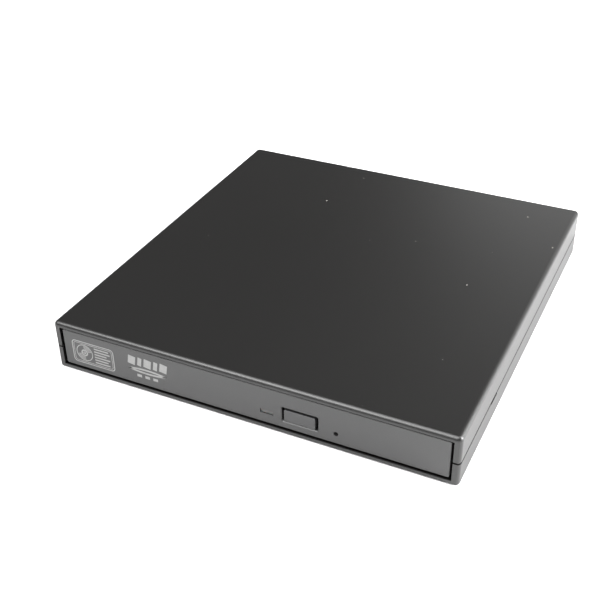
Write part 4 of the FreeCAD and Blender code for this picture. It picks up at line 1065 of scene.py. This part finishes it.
@dataclass
class JackContacts:
    """Centre pin and bowed side spring of the power jack."""

    x: float = 29.0
    z: float = 8.8
    pin_r: float = 0.68
    pin_back: float = 61.6
    pin_front: float = 68.75
    pin_sides: int = 28
    dome_steps: int = 8
    spring_back: float = 61.5
    spring_front: float = 68.4
    spring_width: float = 1.1
    spring_thickness: float = 0.12
    spring_bow: float = 0.55
    spring_points: int = 25
    bore_r: float = 2.1

    def pin(self) -> Surface:
        """Outline of a pin with a domed end, turned about the jack's axis.

        Returns:
            The pin.
        """
        dome = np.linspace(0.0, np.pi / 2.0, self.dome_steps + 1)[:-1]
        shoulder = self.pin_front - self.pin_r
        tip = np.stack([self.pin_r * np.cos(dome), shoulder + self.pin_r * np.sin(dome)], -1)
        turned = revolve(np.vstack([[(self.pin_r, self.pin_back)], tip]), self.pin_sides)
        lying = np.array([(1.0, 0.0, 0.0), (0.0, 0.0, 1.0), (0.0, -1.0, 0.0)])
        return turned.moved(lying, (self.x, 0.0, self.z))

    def spring(self) -> Surface:
        """Strip bowed inward from the wall: depth bow * sin(pi s) over its length.

        Returns:
            The spring.
        """
        s = np.linspace(0.0, 1.0, self.spring_points)
        x = self.x - self.bore_r + self.spring_thickness + self.spring_bow * np.sin(np.pi * s)
        y = self.spring_back + (self.spring_front - self.spring_back) * s
        path = np.stack([x, y, np.full_like(s, self.z)], -1)
        return sweep(path, flat_profile(self.spring_width, self.spring_thickness), across=(0.0, 0.0, 1.0))

    def build(self) -> None:
        """Make both contacts."""
        place("jack_contacts", merge([self.pin(), self.spring()]), Paint.TIN, Body.CASE)


@dataclass
class LensActuator:
    """Wires, coils and rim that carry the floating lens."""

    lens_u: float = 24.5
    top_z: float = 8.9
    coil_offset: float = 4.05
    coil_size: Triple = (1.9, 6.4, 0.9)
    coil_section: tuple[Pair, ...] = ((-0.32, 0.0), (-0.26, 0.14), (0.0, 0.2), (0.26, 0.14), (0.32, 0.0),
                                      (0.0, -0.05))
    rim_inner: float = 2.05
    rim_outer: float = 2.75
    rim_low: float = -0.05
    rim_high: float = 0.2
    rim_bevel: Triple = (0.12, 0.08, 0.15)
    rim_sides: int = 56
    wire_r: float = 0.05
    wire_v: float = 4.8
    wire_zs: Pair = (8.05, 8.55)
    wire_half: float = 5.5
    wire_bow: float = 0.04
    wire_points: int = 17

    def coil(self, u: float) -> Surface:
        """Racetrack coil on the holder: an oval loop with a domed section.

        Args:
            u: where its middle is along the sled's line.

        Returns:
            The coil.
        """
        loop = rounded_loop(*self.coil_size)
        path = np.column_stack([loop[:, 0] + u, loop[:, 1], np.full(len(loop), self.top_z)])
        return on_mechanism(sweep(path, np.array(self.coil_section), closed=True))

    def rim(self) -> Surface:
        """Bevelled ring about the lens.

        Returns:
            The ring.
        """
        low, high = self.top_z + self.rim_low, self.top_z + self.rim_high
        outer_cut, inner_drop, inner_cut = self.rim_bevel
        outline = np.array([
            (self.rim_inner, low), (self.rim_outer, low), (self.rim_outer, self.top_z + outer_cut),
            (self.rim_outer - outer_cut, high), (self.rim_inner + inner_cut, high),
            (self.rim_inner, self.top_z + inner_drop)])
        return on_mechanism(revolve(outline, self.rim_sides, True).moved(np.eye(3), (self.lens_u, 0.0, 0.0)))

    def wires(self) -> Surface:
        """Four fine wires along the holder's sides, bowed a little: z + bow * sin(pi s).

        Returns:
            The wires.
        """
        s = np.linspace(0.0, 1.0, self.wire_points)
        u = self.lens_u - self.wire_half + 2.0 * self.wire_half * s
        tubes = []
        for v in (-self.wire_v, self.wire_v):
            for z in self.wire_zs:
                path = np.stack([u, np.full_like(s, v), z + self.wire_bow * np.sin(np.pi * s)], -1)
                tubes.append(on_mechanism(sweep(path, round_profile(self.wire_r))))
        return merge(tubes)

    def build(self) -> None:
        """Make the three kinds of piece."""
        coils = merge([self.coil(self.lens_u - self.coil_offset), self.coil(self.lens_u + self.coil_offset)])
        place("lens_coils", coils, Paint.COPPER, Body.LENS, 60.0)
        place("lens_rim", self.rim(), Paint.ACETAL, Body.LENS)
        place("lens_wires", self.wires(), Paint.STEEL, Body.LENS)


@dataclass
class StatorCoils:
    """Copper wound on the nine teeth of the disc motor's stator."""

    poles: int = 9
    inner_r: float = 6.0
    outer_r: float = 11.6
    centre_z: float = 5.98
    half_width: float = 1.12
    half_height: float = 1.26
    layers: int = 14
    steps_per_layer: int = 6
    least: float = 0.12
    swell: float = 0.62
    ripple: float = 0.05
    swell_across: float = 0.8
    swell_up: float = 0.22
    corner: float = 0.5
    corner_points: int = 6

    def coil(self) -> Surface:
        """Loop round the tooth, full by least + swell (1 - (2s-1)^4) + ripple |sin(pi layers s)|.

        Returns:
            The coil of the tooth on X.
        """
        s = np.linspace(0.0, 1.0, self.layers * self.steps_per_layer + 1)
        ripple = self.ripple * np.abs(np.sin(np.pi * self.layers * s))
        full = self.least + self.swell * (1.0 - (2.0 * s - 1.0) ** 4) + ripple
        unit = rounded_loop(2.0, 2.0, self.corner, self.corner_points)
        r = self.inner_r + (self.outer_r - self.inner_r) * s
        across = unit[None, :, 0] * (self.half_width + self.swell_across * full[:, None])
        up = self.centre_z + unit[None, :, 1] * (self.half_height + self.swell_up * full[:, None])
        return grid(np.stack([np.broadcast_to(r[:, None], across.shape), across, up], -1))

    def build(self) -> None:
        """Make the nine coils."""
        one = self.coil()
        coils = [one.moved(about_z(2.0 * math.pi * k / self.poles)) for k in range(self.poles)]
        place("stator_coils", on_mechanism(merge(coils)), Paint.COPPER, Body.TRAY, 70.0)


@dataclass
class Chip:
    """A chip with gull-wing legs: its outline, and the sides that have legs, out of l, r, f and b."""

    x0: float
    x1: float
    y0: float
    y1: float
    board_z: float
    rise: float
    sides: str
    pitch: float = 0.65
    margin: float = 0.8
    leg_width: float = 0.28
    leg_thickness: float = 0.1
    root: Pair = (-0.05, 0.25)
    foot: tuple[Pair, ...] = ((0.5, 0.12), (0.62, 0.05), (0.95, 0.05))

    def legs(self) -> list[Surface]:
        """One strip for each leg, bent from the chip's side down to the board and out.

        Returns:
            The strips.
        """
        bend = np.array([(self.root[0], self.rise), (self.root[1], self.rise), *self.foot])
        runs = {"l": (self.x0, -1.0, self.y0, self.y1), "r": (self.x1, 1.0, self.y0, self.y1),
                "f": (self.y0, -1.0, self.x0, self.x1), "b": (self.y1, 1.0, self.x0, self.x1)}
        section = flat_profile(self.leg_width, self.leg_thickness)
        found = []
        for side in self.sides:
            edge, way, low, high = runs[side]
            for at in np.arange(low + self.margin, high - self.margin + 0.01, self.pitch):
                out, along = edge + way * bend[:, 0], np.full(len(bend), at)
                if side in "lr":
                    path, across = (out, along), (0.0, 1.0, 0.0)
                else:
                    path, across = (along, out), (1.0, 0.0, 0.0)
                found.append(sweep(np.stack([*path, self.board_z + bend[:, 1]], -1), section, across=across))
        return found


TRAY_CHIPS = (Chip(24.0, 40.0, 6.0, 22.0, 4.6, 0.5, "l"), Chip(25.5, 38.5, -22.0, -12.0, 4.6, 0.5, "fb"),
              Chip(4.0, 12.0, -52.0, -44.0, 4.6, 0.45, "lrfb"))
BRIDGE_CHIP = Chip(-5.5, -0.5, 61.6, 66.6, 5.8, 0.45, "l")


@dataclass
class BoardParts:
    """Chip legs, and small parts soldered under the tray's board in rows."""

    board_z: float = 3.8
    first_x: float = -44.0
    last_x: float = 40.0
    step_x: float = 3.1
    rows_y: tuple[float, ...] = (35.6, 37.6, 40.9)
    filled: float = 0.6
    seed: int = 7
    end_half: Pair = (0.2, 0.33)
    end_x: float = 0.6
    end_height: float = 0.42
    body_half: Pair = (0.45, 0.3)
    body_height: float = 0.38
    end_bevel: float = 0.05
    body_bevel: float = 0.04

    def block(self, x: float, y: float, half: Pair, height: float, bevel: float) -> Surface:
        """A block that hangs from the board."""
        low = (x - half[0], y - half[1], self.board_z - height)
        return brick(low, (x + half[0], y + half[1], self.board_z), bevel)

    def build(self) -> None:
        """Make the legs of all chips, then the rows of parts, each with two tinned ends and a body."""
        legs = [leg for chip in TRAY_CHIPS for leg in chip.legs()]
        place("tray_chip_legs", merge(legs), Paint.TIN, Body.TRAY)
        place("bridge_chip_legs", merge(BRIDGE_CHIP.legs()), Paint.TIN, Body.CASE)
        rng = np.random.default_rng(self.seed)
        ends: list[Surface] = []
        bodies: list[Surface] = []
        for x in np.arange(self.first_x, self.last_x, self.step_x):
            for y in self.rows_y:
                if rng.random() < self.filled:
                    ends += [self.block(x + k * self.end_x, y, self.end_half, self.end_height, self.end_bevel)
                             for k in (-1.0, 1.0)]
                    bodies.append(self.block(x, y, self.body_half, self.body_height, self.body_bevel))
        place("tray_board_ends", merge(ends), Paint.TIN, Body.TRAY)
        place("tray_board_parts", merge(bodies), Paint.CHIP, Body.TRAY)


# ---------------------------------------------------------------- studio
@dataclass
class Lamp:
    """A soft rectangular light: its place, the point that it faces, its two sides and its watts."""

    name: str
    spot: Triple
    aim: Triple
    size: Pair
    power: float

    def build(self) -> None:
        """Hang the light."""
        data = bpy.data.lights.new(self.name, "AREA")
        data.shape = "RECTANGLE"
        data.size, data.size_y = self.size
        data.energy = self.power
        lamp = bpy.data.objects.new(self.name, data)
        lamp.location = self.spot
        lamp.rotation_mode = "QUATERNION"
        lamp.rotation_quaternion = (Vector(self.aim) - Vector(self.spot)).to_track_quat("-Z", "Y")
        bpy.context.scene.collection.objects.link(lamp)


@dataclass
class Studio:
    """Pale floor, soft lights and the camera."""

    floor_half: float = 4.0
    floor_tone: float = 0.85
    floor_roughness: float = 0.9
    world_tone: float = 0.16
    azimuth: float = 25.97
    elevation: float = 33.47
    roll: float = -0.892
    position: Triple = (0.1174, -0.2707, 0.1969)
    lens: float = 60.54
    sensor: float = 36.0
    clip: Pair = (0.01, 50.0)
    lamps: tuple[Lamp, ...] = (
        Lamp("key", (0.0, -0.4, 1.1), (0.0, 0.0, 0.0), (1.0, 0.8), 17.5),
        Lamp("front_card", (-0.42, -0.62, 0.82), (0.0, 0.0, 0.0), (0.7, 0.4), 11.0),
        Lamp("right_card", (0.8, 0.25, 0.3), (0.05, 0.05, 0.0), (0.5, 0.7), 30.0),
        Lamp("back_card", (0.15, 1.3, 0.4), (0.0, 0.0, 0.0), (1.0, 0.5), 3.0))

    def camera(self) -> None:
        """Place the camera: a view from the front right, above the drive."""
        a, e = math.radians(self.azimuth), math.radians(self.elevation)
        back = Vector((math.sin(a) * math.cos(e), -math.cos(a) * math.cos(e), math.sin(e)))
        right = Vector((math.cos(a), math.sin(a), 0.0))
        level = Matrix((right, back.cross(right), back)).transposed()
        turn = level @ Matrix.Rotation(math.radians(self.roll), 3, "Z")
        data = bpy.data.cameras.new("camera")
        data.lens = self.lens
        data.sensor_width = self.sensor
        data.clip_start, data.clip_end = self.clip
        camera = bpy.data.objects.new("camera", data)
        camera.matrix_world = Matrix.Translation(self.position) @ turn.to_4x4()
        bpy.context.scene.collection.objects.link(camera)
        bpy.context.scene.camera = camera

    def floor(self) -> None:
        """One flat pale sheet that the drive stands on."""
        h = self.floor_half
        mesh = bpy.data.meshes.new("floor")
        mesh.from_pydata([(-h, -h, 0.0), (h, -h, 0.0), (h, h, 0.0), (-h, h, 0.0)], [], [(0, 1, 2, 3)])
        sheet = bpy.data.objects.new("floor", mesh)
        bpy.context.scene.collection.objects.link(sheet)
        material = bpy.data.materials.new("floor_paper")
        material.use_nodes = True
        shader = material.node_tree.nodes["Principled BSDF"]
        shader.inputs["Base Color"].default_value = rgba((self.floor_tone,) * 3)
        shader.inputs["Roughness"].default_value = self.floor_roughness
        shader.inputs["Specular IOR Level"].default_value = 0.0
        mesh.materials.append(material)

    def build(self) -> None:
        """Make the whole studio."""
        scene = bpy.context.scene
        scene.view_settings.view_transform = "Standard"
        world = bpy.data.worlds.new("room")
        world.use_nodes = True
        world.node_tree.nodes["Background"].inputs["Color"].default_value = rgba((self.world_tone,) * 3)
        scene.world = world
        self.camera()
        self.floor()
        for lamp in self.lamps:
            lamp.build()


# ---------------------------------------------------------------- the drive
class Paint(Enum):
    """Every finish of the drive."""

    CASE = Plastic("case_black", (0.0055, 0.0053, 0.0051), roughness=0.37, dust=0.45, specular=0.62)
    # Painted light: the bezel and button are the case's black plastic made about four times lighter, standing
    # in for the extra light that falls on the front panel.
    BEZEL = Plastic("bezel_black_painted_light", (0.024, 0.024, 0.0242), roughness=0.46, mottle=0.03, specular=0.7)
    BUTTON = Plastic("button_black_painted_light", (0.022, 0.022, 0.0228), roughness=0.4, mottle=0.03, specular=0.7)
    TRAY = Plastic("tray_black", (0.012, 0.012, 0.013), roughness=0.5, grain_scale=3000.0, specular=0.6)
    DARK = Plastic("glass_filled_nylon", (0.02, 0.02, 0.021), roughness=0.55, mottle=0.12, grain_scale=2200.0)
    ACETAL = Plastic("natural_acetal", (0.72, 0.7, 0.64), roughness=0.38, mottle=0.03, scatter=0.25)
    FROSTED = Plastic("frosted_pipe", (0.075, 0.077, 0.076), roughness=0.3, mottle=0.06, scatter=0.3)
    LED = Plastic("status_led_body", (0.6, 0.62, 0.55), roughness=0.25, mottle=0.04, scatter=0.5)
    RUBBER = Plastic("soft_rubber", (0.018, 0.018, 0.018), roughness=0.78, mottle=0.12, grain_scale=1500.0,
                     grain_depth=0.00002, specular=0.3)
    SEAT = Plastic("disc_seat_rubber", (0.05, 0.05, 0.052), roughness=0.7, mottle=0.1, grain_scale=1800.0)
    CHIP = Plastic("chip_epoxy", (0.016, 0.016, 0.017), roughness=0.5, mottle=0.1, grain_scale=6000.0)
    SHIELD = Plastic("black_paint", (0.014, 0.014, 0.014), roughness=0.48, mottle=0.1, grain_scale=1500.0,
                     grain_depth=0.000012)
    INK = Plastic("pale_ink", (0.23, 0.23, 0.227), roughness=0.6, mottle=0.16, grain_scale=2600.0)
    CASTING = Metal("cast_alloy", (0.52, 0.52, 0.53), roughness=0.5, variation=0.5, depth=0.00002,
                    look=MetalLook.SPANGLE)
    ZINC = Metal("zinc_sheet", (0.6, 0.61, 0.62), roughness=0.36, variation=0.3, look=MetalLook.SPANGLE)
    STEEL = Metal("bright_steel", (0.64, 0.64, 0.63), roughness=0.2, variation=0.3)
    SCREW = Metal("black_screw", (0.09, 0.09, 0.095), roughness=0.34, variation=0.6)
    TIN = Metal("tin_plate", (0.66, 0.65, 0.62), roughness=0.28, variation=0.35)
    GOLD = Metal("gold_plate", (0.83, 0.6, 0.26), roughness=0.22, variation=0.2)
    BOARD = Board("green_board")
    FILM = Lined("amber_film", (0.34, 0.13, 0.018), (0.48, 0.2, 0.035), (1.0, 0.0, 0.0), 1000.0)
    COPPER = Lined("copper_wire", (0.32, 0.1, 0.04), (0.78, 0.36, 0.17), (0.7071, 0.7071, 0.0), 5200.0, 0.9)
    LENS = LensGlass("objective_glass")


FINISHES: dict[Paint, tuple[str, ...]] = {
    Paint.CASE: ("top_shell", "bottom_shell"),
    Paint.BEZEL: ("front_bezel",),
    Paint.BUTTON: ("eject_button",),
    Paint.TRAY: ("tray",),
    Paint.DARK: ("board_plug", "rear_connector", "power_jack", "rail_guides", "ejector_housing",
                 "eject_switch", "lead_nut", "pickup_sled"),
    Paint.ACETAL: ("ejector_plunger", "release_bar", "latch_crank", "lens_holder", "turntable", "disc_claw_1",
                   "disc_claw_2", "disc_claw_3"),
    Paint.FROSTED: ("light_pipe",),
    Paint.LED: ("status_led",),
    Paint.RUBBER: ("rubber_feet", "dampers"),
    Paint.SEAT: ("disc_rubber",),
    Paint.CHIP: ("bridge_chip", "tray_chips", "capacitors"),
    Paint.SHIELD: ("traverse_shield", "tray_under_cover"),
    Paint.CASTING: ("traverse_frame", "motor_base"),
    Paint.ZINC: ("drive_chassis", "drive_cover", "rail_left", "rail_right", "screw_bracket", "rotor_can"),
    Paint.STEEL: ("latch_post", "ejector_spring", "guide_rods", "leadscrew", "spindle_shaft", "sled_motor",
                  "solenoid_plunger", "stator"),
    Paint.SCREW: ("case_screws", "drive_screws", "cover_screws", "under_cover_screws", "damper_screws"),
    Paint.TIN: ("usb_socket", "crystal"),
    Paint.BOARD: ("bridge_board", "rear_board", "tray_board"),
    Paint.FILM: ("flex_cable",),
    Paint.COPPER: ("solenoid",),
    Paint.LENS: ("objective_lens",),
}


@functools.cache
def material_of(paint: Paint) -> Material:
    """The material of a finish, made when it is first asked for."""
    return paint.value.build()


def dress() -> None:
    """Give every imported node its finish."""
    for paint, nodes in FINISHES.items():
        for node in nodes:
            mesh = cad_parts[node].data
            mesh.materials.clear()
            mesh.materials.append(material_of(paint))
            LOG.info("%s: %s", node, paint.value.name)


def main() -> None:
    """Build the studio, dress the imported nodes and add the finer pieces."""
    Studio().build()
    dress()
    for piece in (PanelMarks(), UsbContacts(), JackContacts(), ScrewThread(), PushSpring(), FlatCable(),
                  LensActuator(), StatorCoils(), BoardParts()):
        piece.build()


if __name__ == "__main__":
    logging.basicConfig(level=logging.INFO, format="%(message)s")
    main()
